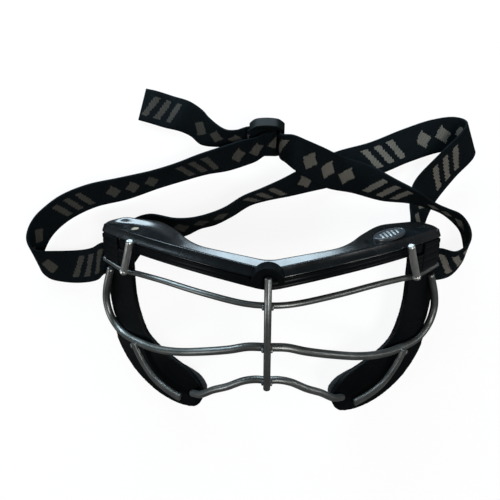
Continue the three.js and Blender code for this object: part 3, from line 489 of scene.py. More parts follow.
# Brow cap
# Glossy moulded shell along the top: a sloped front face, a flange that rises to its rear edge and
# a wing over each temple. The wings are flat in front and steep towards the rear.
CAP_WALL, CAP_SLANT, CAP_THICK, CAP_CROWN = 4.0, 2.6, 2.2, 1.0
WING = [
    (0, 0.102), (0.285, 0.085), (0.39, 0.083), (0.48, 0.105), (0.6, 0.157), (0.69, 0.192),
    (0.76, 0.202), (0.855, 0.172), (0.94, 0.13), (0.98, 0.082), (1, 0.045)]
HOOD_RADIUS, HOOD_HOLLOW, HOOD_RISE, HOOD_BACK = 7.0, 4.0, -2.5, 2.6
HOOD_LEG, HOOD_SEAT_LEG, HOOD_REACH, HOOD_SEAT = 0.5, 1.0, 1.6, 0.05
CAP_RISE, CAP_RISE_SHARE, WING_RISE_SHARE = 2.7, 0.28, 0.04
WING_FROM, WING_BLEND = 6.5, 4.0
# Along the flange: how far back each point lies on the narrow brow and on a wing, and how high.
FLANGE_SHARES = ((0.13, 0.2, 0.0, 0.0), (0.3, 0.5, 0.26, 0.0), (0.48, 0.64, 0.52, 0.07),
                 (0.66, 0.74, 0.79, 0.52), (0.82, 0.85, 1.0, 1.0))
# Up the front face: shares of the slant and of the wall, and then the clearances in millimetres.
FACE_SHARES = ((0.19, 0.75), (0.58, 0.475), (0.87, 0.155), (0.965, 0.025))
CAP_LIP, CAP_EDGE, CAP_SKIN, CAP_TIP_DROP = 0.25, 0.3, 0.05, 1.5
SCUFF_PLACE, SCUFF_RADIUS = (-66.5, 42.5, 1.5), 0.0042
BROW_STEPS = 96
hood_front = bar_depth + CENTER_RADIUS - HOOD_REACH


def wing_reach(x):
    share = abs(x) / HALF_WIDTH
    last = len(WING) - 1
    at = min(max(next((i for i, row in enumerate(WING) if row[0] >= share), last), 1), last)
    (x0, y0), (x1, y1) = WING[at - 1], WING[at]
    before, after = WING[max(at - 2, 0)], WING[min(at + 1, last)]
    slope0 = (y1 - before[1]) / (x1 - before[0])
    slope1 = (after[1] - y0) / (after[0] - x0)
    t = (share - x0) / (x1 - x0)
    cubic = y0 * (1 + 2 * t) * (1 - t) ** 2 + y1 * t * t * (3 - 2 * t)
    return (cubic + (x1 - x0) * (slope0 * t * (1 - t) ** 2 - slope1 * t * t * (1 - t))) * HALF_WIDTH


def rolled(name, rings):
    """Closed solid through rings of equal length: a grid rolled up, joined along its seam and capped."""
    rows = len(rings[0])
    solid, spots = grid(name, len(rings) - 1, rows)
    for vertex, i, k in spots:
        vertex.co = rings[i][k % rows]
    bpy.ops.object.mode_set(mode="EDIT")
    bpy.ops.mesh.select_all(action="SELECT")
    bpy.ops.mesh.remove_doubles(threshold=1e-7)
    bpy.ops.mesh.select_all(action="DESELECT")
    bpy.ops.mesh.select_non_manifold()
    bpy.ops.mesh.fill_holes(sides=0)
    bpy.ops.mesh.select_all(action="SELECT")
    bpy.ops.mesh.normals_make_consistent(inside=False)
    bpy.ops.object.mode_set(mode="OBJECT")
    return solid


def along_brow(name, start, end, steps, profile):
    """Smooth solid whose profile follows the wrapped brow: u runs in from the face, v up from the brow line."""
    rings = []
    for i in range(steps + 1):
        x = start + (end - start) * i / steps
        angle = face_angle(x)
        rings.append([laid(x - u * math.sin(angle), face_depth(x) + u * math.cos(angle), brow_line(x) + v)
                      for u, v in profile(x)])
    solid = rolled(name, rings)
    apply(solid, "SUBSURF", levels=2, render_levels=2)
    return solid


def cap_profile(x):
    """Front face, rolled front edge, the rise to the crown, the rear edge and the inside."""
    reach = wing_reach(x)
    tip = min(reach / (CAP_SLANT + CAP_THICK * 2), 1)
    slant, shoulder = CAP_SLANT * tip, (CAP_SLANT + CAP_THICK) * tip
    width = reach - slant
    under = (CAP_CROWN - CAP_THICK) * tip - (1 - tip) * CAP_TIP_DROP
    face = [(CAP_LIP * tip, -CAP_WALL), (0.0, -CAP_WALL + CAP_EDGE),
            *[(slant * in_share, -CAP_WALL * down_share) for in_share, down_share in FACE_SHARES],
            (slant + 0.1 * tip, 0.14 * tip)]
    wing = min(max((width - WING_FROM) / WING_BLEND, 0), 1)
    rise = min(width * (CAP_RISE_SHARE + WING_RISE_SHARE * wing), CAP_RISE)
    flange = [(slant + 0.34 * tip, 0.12 * tip)]
    for brow_back, wing_back, brow_height, wing_height in FLANGE_SHARES:
        height = brow_height * (1 - wing) + wing_height * wing
        flange.append((slant + width * (brow_back + (wing_back - brow_back) * wing), (CAP_SKIN + rise * height) * tip))
    rear = [(reach - 0.5 * tip, (rise + CAP_SKIN) * tip), (reach - CAP_SKIN * tip, 0.5 * tip),
            (reach, -CAP_EDGE), (reach - CAP_EDGE * tip, under)]
    inside = [(shoulder + (reach - shoulder) * 0.5, under), (shoulder, under - 0.8 * tip), (3.4 * tip, -3.2),
              (CAP_THICK * tip, -CAP_WALL + 0.1), ((CAP_THICK - 0.5) * tip, -CAP_WALL)]
    return face + flange + rear + inside


def arch_block(name, radius, front, back, leg):
    """Round-topped block, the shape of the hood and of the room cut for it."""
    deselect()
    bpy.ops.mesh.primitive_circle_add(vertices=48, radius=radius * MM, fill_type="NGON")
    cutter = bpy.context.object
    cutter.name = name
    for vertex in cutter.data.vertices:
        across, height = vertex.co.x / MM, vertex.co.y / MM
        vertex.co = laid(across, front, HOOD_RISE + (height if height > 0 else -leg * (height < -1e-4)))
    bpy.ops.object.mode_set(mode="EDIT")
    bpy.ops.mesh.select_all(action="SELECT")
    bpy.ops.mesh.extrude_region_move(TRANSFORM_OT_translate={"value": laid(0, back, 0) - laid(0, front, 0)})
    bpy.ops.mesh.select_all(action="SELECT")
    bpy.ops.mesh.remove_doubles(threshold=1e-7)
    bpy.ops.mesh.normals_make_consistent(inside=False)
    bpy.ops.object.mode_set(mode="OBJECT")
    return cutter


def cut_away(piece, cutter):
    apply(piece, "BOOLEAN", object=cutter, operation="DIFFERENCE", solver="EXACT")
    bpy.data.objects.remove(cutter)


def hood_seat(name):
    """The room that the hood takes in the cap and the rail."""
    return arch_block(name, HOOD_RADIUS + HOOD_SEAT, hood_front - GAP, HOOD_BACK + HOOD_SEAT, HOOD_SEAT_LEG)


gloss = Finish("gloss_black_plastic", Specular_IOR_Level=0.5, IOR=1.45)
smudge = gloss.grain(60, 4, 0.6)
fleck = gloss.grain(1500, 3, 0.6)
from_scuff = gloss.node("ShaderNodeVectorMath", {"operation": "SUBTRACT"}, {
    0: gloss.here, 1: tuple(laid(*SCUFF_PLACE))})
scuffed = 1 - gloss.node("ShaderNodeVectorMath", {"operation": "LENGTH"}, {0: from_scuff}, 1) / SCUFF_RADIUS
scuffed = (scuffed.greater(0) * 1.3 * gloss.grain(420, 4, 0.75)).ramp(0.28, 0.42)
clean = gloss.blend(fleck.ramp(0.35, 0.75), (0.0016, 0.0026, 0.0034), (0.0034, 0.0048, 0.0058))
gloss.set(
    Base_Color=gloss.blend(scuffed, clean, (0.20, 0.17, 0.12)),
    Roughness=(0.17 + smudge.ramp(0.35, 0.75) * 0.12 + fleck * 0.04) + scuffed * 0.35,
    Normal=gloss.relief(fleck * 0.15 + gloss.grain(160, 2), 0.00002, 0.35))

cap = along_brow("brow_cap_shell", -HALF_WIDTH, HALF_WIDTH, BROW_STEPS, cap_profile)
cut_away(cap, hood_seat("hood_room"))
finish_piece(cap, gloss, "gloss_black", "brow_cap", smooth=35)

# Brow rail
# The strip under the cap that holds the cage, moulded in a duller black with two long grooves.
RAIL_TOP, RAIL_HEIGHT, RAIL_FACE, RAIL_DEPTH, RAIL_SPAN = -CAP_WALL - GAP, 5.2, 0.4, 6.6, 76.0
RAIL_GROOVE_SHARES, RAIL_GROOVE_REACH, RAIL_GROOVE_DEPTH = (0.36, 0.74), 0.8, 0.3
RAIL_CORNER, RAIL_TOP_EDGE, RAIL_EASE = 0.4, 0.3, 0.05
GROOVE_LIP, GROOVE_HALF = 0.08, 0.4


def groove(front, middle, reach, depth):
    """Soft groove in a front face: the profile's points across it, downwards where reach is negative."""
    half = math.copysign(GROOVE_HALF, reach)
    return [(front, middle - reach), (front + GROOVE_LIP, middle - half), (front + depth, middle),
            (front + GROOVE_LIP, middle + half), (front, middle + reach)]


def rail_profile(x):
    low, high, front, rear = RAIL_TOP - RAIL_HEIGHT, RAIL_TOP, RAIL_FACE, RAIL_FACE + RAIL_DEPTH
    face = [(front + RAIL_CORNER, low + RAIL_EASE), (front + RAIL_EASE, low + RAIL_CORNER + RAIL_EASE)]
    for share in RAIL_GROOVE_SHARES:
        face += groove(front, low + RAIL_HEIGHT * share, RAIL_GROOVE_REACH, RAIL_GROOVE_DEPTH)
    return face + [(front + RAIL_EASE, high - RAIL_TOP_EDGE), (front + RAIL_TOP_EDGE, high),
                   (rear - RAIL_CORNER, high), (rear, high - RAIL_CORNER),
                   (rear, low + RAIL_CORNER), (rear - RAIL_CORNER, low)]


rail = along_brow("brow_rail_strip", -RAIL_SPAN, RAIL_SPAN, BROW_STEPS, rail_profile)
cut_away(rail, hood_seat("hood_room_low"))
deep_black = Finish("deep_black_plastic", Specular_IOR_Level=0.045)
smudge = deep_black.grain(90, 4, 0.6)
deep_black.set(
    Base_Color=deep_black.blend(smudge, (0.001, 0.0016, 0.002), (0.0028, 0.0038, 0.0044)),
    Roughness=0.24 + smudge * 0.16, Normal=deep_black.relief(deep_black.grain(200, 2), 0.00002, 0.35))
finish_piece(rail, deep_black, "gloss_black", "brow_rail", smooth=60)

# Hood
# A half-round arch in the rail's black, over the top end of the centre bar. It breaks the flange's
# front edge, and its hollow takes the bar.
HOOD_EDGE = 0.6
hood = arch_block("bridge_hood_arch", HOOD_RADIUS, hood_front, HOOD_BACK, HOOD_LEG)
bar_room = arch_block("bar_room", HOOD_HOLLOW, hood_front - GAP, bar_depth + CENTER_RADIUS + GAP, HOOD_LEG * 2)
cut_away(hood, bar_room)
round_edges(hood, HOOD_EDGE, 4, 40)
finish_piece(hood, deep_black, "gloss_black", "bridge_hood", smooth=40)

# Temple blocks
# The rail's end blocks, in the same black with three shallow ribs, where the wires are held. A web
# of each block runs on inwards, under the rail.
BLOCK_START, BLOCK_INNER, BLOCK_BOTTOM, BLOCK_FRONT, BLOCK_BACK = 76.1, 69.0, -19.4, -0.3, 2.2
UNDER_RAIL, WEB_SPLIT = RAIL_TOP - RAIL_HEIGHT - GAP, 0.05
RIB_SHARES, RIB_REACH, RIB_DEPTH, RIB_TOP, RIB_PITCH = (0.2, 0.44, 0.68), -1.1, 0.38, 1.6, 2.4
BLOCK_ROUNDING, BLOCK_DRAW, BLOCK_REAR_DRAW = 1.2, 0.9, 0.5
BLOCK_CORNER, BLOCK_CORNER_DROP, BLOCK_REAR_CORNER = 0.5, 0.35, 0.3


def block_profile(x):
    """Ribbed front and plain back, drawn in towards the outer end."""
    end = max((abs(x) - (HALF_WIDTH - BLOCK_ROUNDING)) / BLOCK_ROUNDING, 0) ** 2
    upper = RAIL_TOP if abs(x) >= BLOCK_START else UNDER_RAIL
    drawn = end * BLOCK_DRAW
    top, bottom = upper - drawn, BLOCK_BOTTOM + drawn
    front, rear = BLOCK_FRONT + drawn, BLOCK_BACK - end * BLOCK_REAR_DRAW
    face = [(front + BLOCK_CORNER, top), (front + GROOVE_LIP, top - BLOCK_CORNER_DROP)]
    ribs_from = top if upper == RAIL_TOP else (top + RAIL_TOP) / 2
    for i, share in enumerate(RIB_SHARES):
        middle = min(ribs_from * (1 - share) + bottom * share, top - RIB_TOP - RIB_PITCH * i)
        face += groove(front, middle, RIB_REACH, RIB_DEPTH)
    return face + [(front + GROOVE_LIP, bottom + BLOCK_CORNER_DROP), (front + BLOCK_CORNER, bottom),
                   (rear - BLOCK_REAR_CORNER, bottom), (rear, bottom + BLOCK_REAR_CORNER),
                   (rear, top - BLOCK_REAR_CORNER), (rear - BLOCK_REAR_CORNER, top)]


for side, word in SIDES:
    for name, inner, outer, steps, nodes in (
            ("temple_block_ribbed", BLOCK_START, HALF_WIDTH, 18, [f"{word}_temple_block"]),
            ("temple_block_web", BLOCK_INNER, BLOCK_START - WEB_SPLIT, 10, [])):
        block = along_brow(f"{word}_{name}", *sorted((side * inner, side * outer)), steps, block_profile)
        finish_piece(block, deep_black, "gloss_black", *nodes, smooth=50)

# Side frames
# The shield down each cheek and the strap arm are one stiff moulding in satin black, its edges
# softly rounded by the mould.
FRAME_GRAIN, FRAME_PASSES = 0.42, 6


def moulded(name, node, grain_size, passes):
    """The solid of a rigid part with its edges rounded as they leave the mould."""
    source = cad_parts[node]
    piece = bpy.data.objects.new(name, source.data.copy())
    bpy.context.scene.collection.objects.link(piece)
    alone(piece)
    bpy.ops.object.mode_set(mode="EDIT")
    bpy.ops.mesh.select_all(action="SELECT")
    bpy.ops.mesh.remove_doubles(threshold=1e-6)
    bpy.ops.mesh.normals_make_consistent(inside=False)
    bpy.ops.object.mode_set(mode="OBJECT")
    if piece.data.has_custom_normals:
        bpy.ops.mesh.customdata_custom_splitnormals_clear()
    apply(piece, "REMESH", mode="VOXEL", voxel_size=grain_size * MM)
    apply(piece, "SMOOTH", factor=0.5, iterations=passes)
    return piece


satin = Finish("satin_black_plastic", Specular_IOR_Level=0.045)
smudge = satin.grain(70, 4, 0.6)
fleck = satin.grain(1400, 3, 0.6)
satin.set(
    Base_Color=satin.blend(fleck.ramp(0.35, 0.75), (0.0008, 0.0014, 0.0018), (0.0022, 0.0031, 0.0036)),
    Roughness=0.33 + smudge.ramp(0.3, 0.75) * 0.2,
    Normal=satin.relief(fleck * 0.6 + satin.grain(260, 2), 0.00004, 0.6))
for word in ("left", "right"):
    side_frame = moulded(f"{word}_side_frame_shield", f"{word}_side_frame", FRAME_GRAIN, FRAME_PASSES)
    finish_piece(side_frame, satin, "satin_black", f"{word}_side_frame", smooth=0)

# Cheek bars
# Flat steel bars, cut square at both ends. Each is welded over the middle wire and runs down in
# front of its side shield.
BAR_WIDTH, BAR_THICK, BAR_EDGE, BAR_STEPS = 3.9, 1.9, 0.35, 30
CHEEK_BAR = [(0.806, 0.652, -0.082), (0.79, 0.695, -0.073), (0.752, 0.765, -0.058),
             (0.683, 0.838, -0.045), (0.59, 0.881, -0.022), (0.51, 0.9, -0.006)]
CHEEK_FILLET, CHEEK_FILLET_OUT, CHEEK_FILLET_DROP = (1.5, 0.6, 0.7), 0.1, 1.3


def flat_bar(name, path, width, thickness):
    """Flat bar along a path, its broad side along the wrapped face."""
    rings = []
    for i, here in enumerate(path):
        run = (path[min(i + 1, len(path) - 1)] - path[max(i - 1, 0)]).normalized()
        angle = face_angle(here.x / MM - ROW_SHIFT[0])
        outward = (laid(math.sin(angle), -math.cos(angle), 0) - laid(0, 0, 0)).normalized()
        across = outward.cross(run).normalized() * width / 2 * MM
        lift = across.cross(run).normalized() * thickness / 2 * MM
        rings.append([here + across + lift, here - across + lift, here - across - lift, here + across - lift])
    bar = rolled(name, rings)
    round_edges(bar, BAR_EDGE, 3, 50)
    return bar


for side, word in SIDES:
    bar_path = smooth_path([on_face(p, side) for p in CHEEK_BAR], BAR_STEPS)
    cheek_bar = flat_bar(f"{word}_cheek_bar_flat", bar_path, BAR_WIDTH, BAR_THICK)
    finish_piece(cheek_bar, graphite, "wire_graphite", f"{word}_cheek_bar", smooth=35)
    run = (bar_path[2] - bar_path[0]).normalized()
    for step, hand in ((-1, "inner"), (1, "outer")):
        aside = run.cross(Vector((0, 0, 1))).normalized() * step * (BAR_WIDTH / 2 + CHEEK_FILLET_OUT) * MM
        joint = bar_path[2] + aside - Vector((0, 0, CHEEK_FILLET_DROP * MM))
        fillet = weld_lump(f"{word}_cheek_{hand}_fillet", joint, run, CHEEK_FILLET, step + side)
        finish_piece(fillet, graphite, "wire_graphite", smooth=0)

# Oval badge
# A dark oval insert pressed into the right wing, with a raised rim and a plain row of slanted bars
# in worn silver.
BADGE_LENGTH, BADGE_WIDTH, BADGE_SPAN, BADGE_SETBACK = 20.0, 9.0, 61.5, 7.6
BADGE_LOW, BADGE_HIGH, BADGE_EDGE, RIM, RIM_FLATTEN = -0.6, 0.75, 0.25, 0.55, 0.8
SLANT_COUNT, SLANT_PITCH, SLANT_SIZE, SLANT_LEAN = 5, 2.6, (1.25, 5.4, 0.3), 0.45
SLANT_RISE, SLANT_SHORTEN, SLANT_EDGE = 0.1, 0.14, 0.12
RING_TUBE = 0.05
badge_angle = face_angle(BADGE_SPAN)


def on_wing(point):
    """A place on the badge, in millimetres along, across and above it, on the laid goggles."""
    along, aside, above = point
    x = BADGE_SPAN - BADGE_SETBACK * math.sin(badge_angle)
    depth = face_depth(BADGE_SPAN) + BADGE_SETBACK * math.cos(badge_angle)
    return laid(x + along * math.cos(badge_angle) - aside * math.sin(badge_angle),
                depth + along * math.sin(badge_angle) + aside * math.cos(badge_angle),
                brow_line(BADGE_SPAN) + CAP_CROWN + above)


def set_on_wing(piece, name, length=1.0, width=1.0):
    piece.name = name
    for vertex in piece.data.vertices:
        vertex.co = on_wing((vertex.co.x * length, vertex.co.y * width, vertex.co.z))


badge_finish = Finish("badge_dark_grey", Specular_IOR_Level=0.5)
mottle = badge_finish.grain(800, 3)
badge_finish.set(
    Base_Color=badge_finish.blend(mottle, (0.010, 0.013, 0.016), (0.028, 0.034, 0.04)),
    Roughness=0.25 + badge_finish.grain(300, 3) * 0.15,
    Normal=badge_finish.relief(badge_finish.grain(900, 2), 0.00002, 0.5))
silver = Finish("badge_worn_silver", Metallic=0.8)
wear = silver.grain(1200, 3).ramp(0.35, 0.6)
silver.set(
    Base_Color=silver.blend(wear, (0.22, 0.23, 0.24), (0.55, 0.56, 0.56)),
    Roughness=0.3 + silver.grain(500, 2) * 0.2, Normal=silver.relief(silver.grain(900, 2), 0.00002))
deselect()
bpy.ops.mesh.primitive_cylinder_add(vertices=64, radius=0.5, depth=BADGE_HIGH - BADGE_LOW,
                                    location=(0, 0, (BADGE_LOW + BADGE_HIGH) / 2))
badge = bpy.context.object
settle()
set_on_wing(badge, "oval_badge_insert", BADGE_LENGTH, BADGE_WIDTH)
round_edges(badge, BADGE_EDGE, 2, 40)
finish_piece(badge, badge_finish, "badge_grey", "oval_badge", smooth=35)
deselect()
bpy.ops.mesh.primitive_torus_add(major_segments=96, minor_segments=12, major_radius=1.0,
                                 minor_radius=RING_TUBE)
rim = bpy.context.object
for vertex in rim.data.vertices:
    ring = math.hypot(vertex.co.x, vertex.co.y)
    swell = (ring - 1) / RING_TUBE * RIM
    turn = Vector((vertex.co.x, vertex.co.y)) / ring
    vertex.co = Vector((turn.x * (BADGE_LENGTH / 2 - RIM + swell), turn.y * (BADGE_WIDTH / 2 - RIM + swell),
                        BADGE_HIGH + vertex.co.z / RING_TUBE * RIM * RIM_FLATTEN))
set_on_wing(rim, "badge_rim")
finish_piece(rim, badge_finish, "badge_grey", smooth=0)
for i in range(SLANT_COUNT):
    deselect()
    from_middle = i - (SLANT_COUNT - 1) // 2
    width, height, depth = SLANT_SIZE
    bpy.ops.mesh.primitive_cube_add(size=1.0, location=(from_middle * SLANT_PITCH, 0, BADGE_HIGH + SLANT_RISE),
                                    scale=(width, height * (1 - abs(from_middle) * SLANT_SHORTEN), depth))
    slanted = bpy.context.object
    settle()
    for vertex in slanted.data.vertices:
        vertex.co.x += vertex.co.y * SLANT_LEAN
    set_on_wing(slanted, f"badge_bar_{i + 1}")
    apply(slanted, "BEVEL", width=SLANT_EDGE * MM, segments=2)
    finish_piece(slanted, silver, "badge_grey", smooth=40)

# Foam pads
# Soft foam behind the brow and the side shields, faced with a fine black knit. The knit is drawn
# tight over the foam, so the pads swell between their edges.
PAD_GRAIN, PAD_PASSES, PAD_SWELL, PAD_PRESSURE, PAD_FRAMES = 1.6, 2, 0.35, 4.0, 20
foam = Finish("foam_knit_black", Roughness=0.95, Sheen_Weight=0.06, Sheen_Roughness=0.5,
              Specular_IOR_Level=0.12)
knit = foam.node("ShaderNodeTexVoronoi", {"feature": "F1"}, {"Vector": foam.here, "Scale": 1300})
foam.set(
    Base_Color=foam.blend(knit.ramp(0.2, 0.8), (0.0055, 0.0065, 0.007), (0.0014, 0.0018, 0.002)),
    Normal=foam.relief(knit * -1.0 + foam.grain(300, 3), 0.0002, 0.8))


def swollen(pad):
    """The pad blown up as a closed cloth skin, its points held near where they started."""
    started = [vertex.co.copy() for vertex in pad.data.vertices]
    alone(pad)
    cloth_skin = pad.modifiers.new("skin", "CLOTH")
    cloth_skin.settings.use_pressure = True
    cloth_skin.settings.uniform_pressure_force = PAD_PRESSURE
    cloth_skin.settings.quality = 5
    cloth_skin.settings.effector_weights.gravity = 0
    for step in range(1, PAD_FRAMES + 1):
        bpy.context.scene.frame_set(step)
    bpy.ops.object.modifier_apply(modifier="skin")
    bpy.context.scene.frame_set(1)
    for vertex, start in zip(pad.data.vertices, started):
        travel = vertex.co - start
        if travel.length > PAD_SWELL * MM:
            vertex.co = start + travel.normalized() * PAD_SWELL * MM


for node in ("brow_pad", "left_cheek_pad", "right_cheek_pad"):
    pad = moulded(f"{node}_foam", node, PAD_GRAIN, PAD_PASSES)
    swollen(pad)
    apply(pad, "SUBSURF", levels=1, render_levels=1)
    finish_piece(pad, foam, "foam_black", node, smooth=0)

# Webbing strap
# One length of elastic webbing, woven black with a warm grey pattern of slashes and lozenges.
# It lies on its edge on the table, runs through both arms and twists where it crosses itself.
# Each row of a run gives its lower and its upper edge, in units of STRAP_REACH.
WEB_WIDTH, WEB_THICK, WEB_EDGE, WEB_STEP = 18.6, 1.2, 0.3, 0.9
STRAP_REACH = 100.0
ARM_SPAN, ARM_END, ARM_REAR_BAR, SLOT_CLEARANCE, SLOT_DROP = 84.0, 64.8, 4.2, 0.9, 23.0
SLOT_DEPTH = ARM_END - ARM_REAR_BAR - SLOT_CLEARANCE - WEB_THICK / 2
SLOT_RUN = 6.0
LEFT_RUN = [
    (-0.941, -0.035, 0.055, -0.962, 0.148, 0.125), (-1.039, -0.054, 0.025, -1.048, 0.131, 0.075),
    (-1.151, -0.051, 0.01, -1.175, 0.115, 0.085), (-1.231, -0.032, 0.01, -1.249, 0.113, 0.12),
    (-1.279, 0.012, 0.01, -1.283, 0.127, 0.155), (-1.287, 0.068, 0.01, -1.306, 0.175, 0.16),
    (-1.269, 0.126, 0.01, -1.301, 0.235, 0.155), (-1.24, 0.191, 0.01, -1.268, 0.294, 0.16),
    (-1.197, 0.246, 0.01, -1.218, 0.344, 0.165), (-1.12, 0.309, 0.01, -1.133, 0.41, 0.165),
    (-0.986, 0.376, 0.01, -0.992, 0.469, 0.17), (-0.805, 0.423, 0.01, -0.807, 0.51, 0.172),
    (-0.626, 0.489, 0.01, -0.633, 0.548, 0.185), (-0.494, 0.531, 0.01, -0.508, 0.588, 0.185),
    (-0.357, 0.57, 0.012, -0.379, 0.641, 0.18), (-0.242, 0.59, 0.015, -0.24, 0.693, 0.168),
    (-0.147, 0.617, 0.03, -0.142, 0.722, 0.181)]
BACK_RUN = [
    (-0.74, 0.059, 0.07, -0.771, 0.216, 0.15), (-0.686, 0.138, 0.05, -0.737, 0.285, 0.14),
    (-0.587, 0.193, 0.02, -0.654, 0.311, 0.12), (-0.47, 0.221, 0.01, -0.505, 0.296, 0.175),
    (-0.391, 0.261, 0.01, -0.414, 0.298, 0.19), (-0.305, 0.286, 0.01, -0.326, 0.32, 0.192),
    (-0.216, 0.332, 0.01, -0.237, 0.356, 0.192), (-0.113, 0.397, 0.01, -0.144, 0.416, 0.192),
    (-0.024, 0.425, 0.01, -0.046, 0.459, 0.191), (0.109, 0.453, 0.01, 0.058, 0.511, 0.179),
    (0.219, 0.479, 0.01, 0.148, 0.565, 0.159), (0.415, 0.523, 0.01, 0.355, 0.686, 0.03),
    (0.612, 0.582, 0.01, 0.548, 0.754, 0.025), (0.771, 0.651, 0.01, 0.726, 0.836, 0.02),
    (0.937, 0.707, 0.01, 0.889, 0.882, 0.03), (1.048, 0.719, 0.01, 1.008, 0.892, 0.05),
    (1.121, 0.714, 0.02, 1.044, 0.837, 0.135), (1.114, 0.676, 0.03, 1.015, 0.786, 0.142),
    (1.012, 0.562, 0.02, 0.903, 0.67, 0.125), (0.902, 0.415, 0.01, 0.783, 0.52, 0.09),
    (0.856, 0.316, 0.01, 0.757, 0.403, 0.115), (0.831, 0.21, 0.02, 0.749, 0.298, 0.15),
    (0.77, 0.1, 0.035, 0.729, 0.218, 0.175)]
RIGHT_RUN = [
    (0.082, 0.616, 0.12, 0.113, 0.729, 0.264), (0.129, 0.565, 0.17, 0.186, 0.693, 0.293),
    (0.201, 0.519, 0.175, 0.272, 0.663, 0.269), (0.3, 0.475, 0.145, 0.369, 0.633, 0.213),
    (0.437, 0.452, 0.14, 0.521, 0.569, 0.255), (0.586, 0.411, 0.16, 0.629, 0.489, 0.32),
    (0.731, 0.396, 0.18, 0.726, 0.424, 0.36), (0.872, 0.371, 0.12, 0.831, 0.375, 0.3),
    (0.955, 0.347, 0.055, 0.911, 0.358, 0.235), (1.016, 0.304, 0.025, 0.984, 0.335, 0.205),
    (1.05, 0.264, 0.01, 1.027, 0.288, 0.192), (1.066, 0.194, 0.01, 1.043, 0.236, 0.19),
    (1.067, 0.132, 0.01, 1.035, 0.19, 0.182), (1.032, 0.071, 0.02, 1.005, 0.158, 0.18),
    (0.977, 0.021, 0.04, 0.965, 0.142, 0.178)]
TAIL = [
    (-0.395, 0.738, 0.01, -0.341, 0.851, 0.145), (-0.454, 0.785, 0.01, -0.377, 0.892, 0.138),
    (-0.513, 0.811, 0.01, -0.45, 0.948, 0.115), (-0.6, 0.831, 0.01, -0.567, 1.012, 0.025),
    (-0.7, 0.86, 0.01, -0.653, 1.038, 0.03), (-0.759, 0.876, 0.01, -0.717, 1.059, 0.015)]
SLIDER_PLACE = Vector((-2.3, 75.4, 13.2))
SLIDER_LEAN = math.radians(60)
SLIDER_LENGTH, SLIDER_TRAVEL, BUNCHED = 21.0, 12.0, 16.0
# Stations along the slider: how far along it, how far in front, how wide and how far down the lower
# edge lies. First the webbing's way into the slider and through it, then the fold at its sewn end.
STRAIGHT = [(7.4, 6.3, 18.0, -9.6), (7.0, 2.8), (5.9, 0.1), (4.6, 0), (-SLIDER_LENGTH / 2, 0, 15.0),
            (-SLIDER_LENGTH / 2 - SLIDER_TRAVEL / 2, 0, 12.6), (-SLIDER_LENGTH / 2 - SLIDER_TRAVEL, 0, 13.0)]
FOLD = [(-6.0, 6.4, 18.2, -12.4), (-1.0, 5.0, 16.9, -9.2), (2.4, 4.9, 16.8, -8.8), (4.5, 3.2, 16.2),
        (2.5, 1.5), (-4.0, 1.55), (-10.2, 3.4)]
# Creases in the fold: start, end, height and spread, along and across the slider.
FOLD_RIDGES = [((-4.8, -10.0), (4.4, 8.5), 0.42, 0.5), ((-9.0, 1.0), (-2.2, 9.5), 0.3, 0.5),
               ((-1.5, -6.0), (2.4, 3.0), 0.26, 0.6), ((-11.8, -14.0), (-11.4, 7.0), 0.34, 0.4),
               ((-16.5, -12.0), (-9.5, 4.5), 0.18, 0.8)]
RIDGES_FROM, RIDGES_IN_FRONT = -20.0, 3.6
# The woven pattern: the weave's cell and threads, then slashes and lozenges, in one repeat.
CELL, RUN_THREAD, PICK_THREAD, PERIOD = 0.85, 0.75, 0.62, 72.0
SLASH_PITCH, SLASH_WIDTH, SLASH_END, SLASH_REACH, SLASH_LEAN = 7.2, 3.6, 28.6, 5.8, 0.45
LOZENGE_START, LOZENGE_END, LOZENGE_PITCH, LOZENGE_SIZE, LOZENGE_STRETCH = 34.0, 67.0, 11.0, 4.9, 1.1

row_shift = Vector((*ROW_SHIFT, 0))
slider_middle = (SLIDER_PLACE + row_shift) * MM
slider_across = Vector((0, math.cos(SLIDER_LEAN), math.sin(SLIDER_LEAN)))
slider_outward = Vector((0, -math.sin(SLIDER_LEAN), math.cos(SLIDER_LEAN)))


def on_table(values):
    """The strap's two edges at one place along it, its width made exact from the lower edge."""
    low = Vector(values[:3]) * STRAP_REACH
    high = Vector(values[3:]) * STRAP_REACH
    across = (high - low).normalized()
    return (low + row_shift) * MM, (low + across * WEB_WIDTH + row_shift) * MM


def in_slot(side, out):
    return tuple(laid(side * (ARM_SPAN + out), SLOT_DEPTH, -SLOT_DROP + sign * WEB_WIDTH / 2) for sign in (-1, 1))


def through_slider(along, in_front=0.0, width=BUNCHED, low_edge=-BUNCHED / 2):
    low = SLIDER_PLACE + Vector((along, 0, 0)) + slider_outward * in_front + slider_across * low_edge + row_shift
    return low * MM, (low + slider_across * width) * MM


def webbing(name, edges, rows=10):
    """Ribbon of webbing between two smooth edges, with its length and width as its map, then its thickness."""
    lows, highs = [a for a, b in edges], [b for a, b in edges]
    dense = 40 * len(edges)
    middle = [(smooth_point(lows, i / dense) + smooth_point(highs, i / dense)) / 2 for i in range(dense + 1)]
    travelled = np.concatenate([[0], np.cumsum([(b - a).length for a, b in zip(middle, middle[1:])])])
    columns = int(travelled[-1] / (WEB_STEP * MM))
    shares = np.interp(np.linspace(0, travelled[-1], columns + 1), travelled, np.linspace(0, 1, dense + 1))
    low_path = [smooth_point(lows, s) for s in shares]
    high_path = [smooth_point(highs, s) for s in shares]
    strap, spots = grid(name, columns, rows)
    places = {}
    for vertex, i, k in spots:
        places[vertex.index] = (travelled[-1] * i / columns, k / rows)
        vertex.co = low_path[i].lerp(high_path[i], k / rows)
    weave = strap.data.uv_layers.active or strap.data.uv_layers.new(name="weave")
    weave.name = "weave"
    for loop in strap.data.loops:
        weave.data[loop.index].uv = places[loop.vertex_index]
    apply(strap, "SOLIDIFY", thickness=WEB_THICK * MM, offset=0, use_even_offset=True)
    round_edges(strap, WEB_EDGE, 2, 60)
    return strap, travelled[-1]


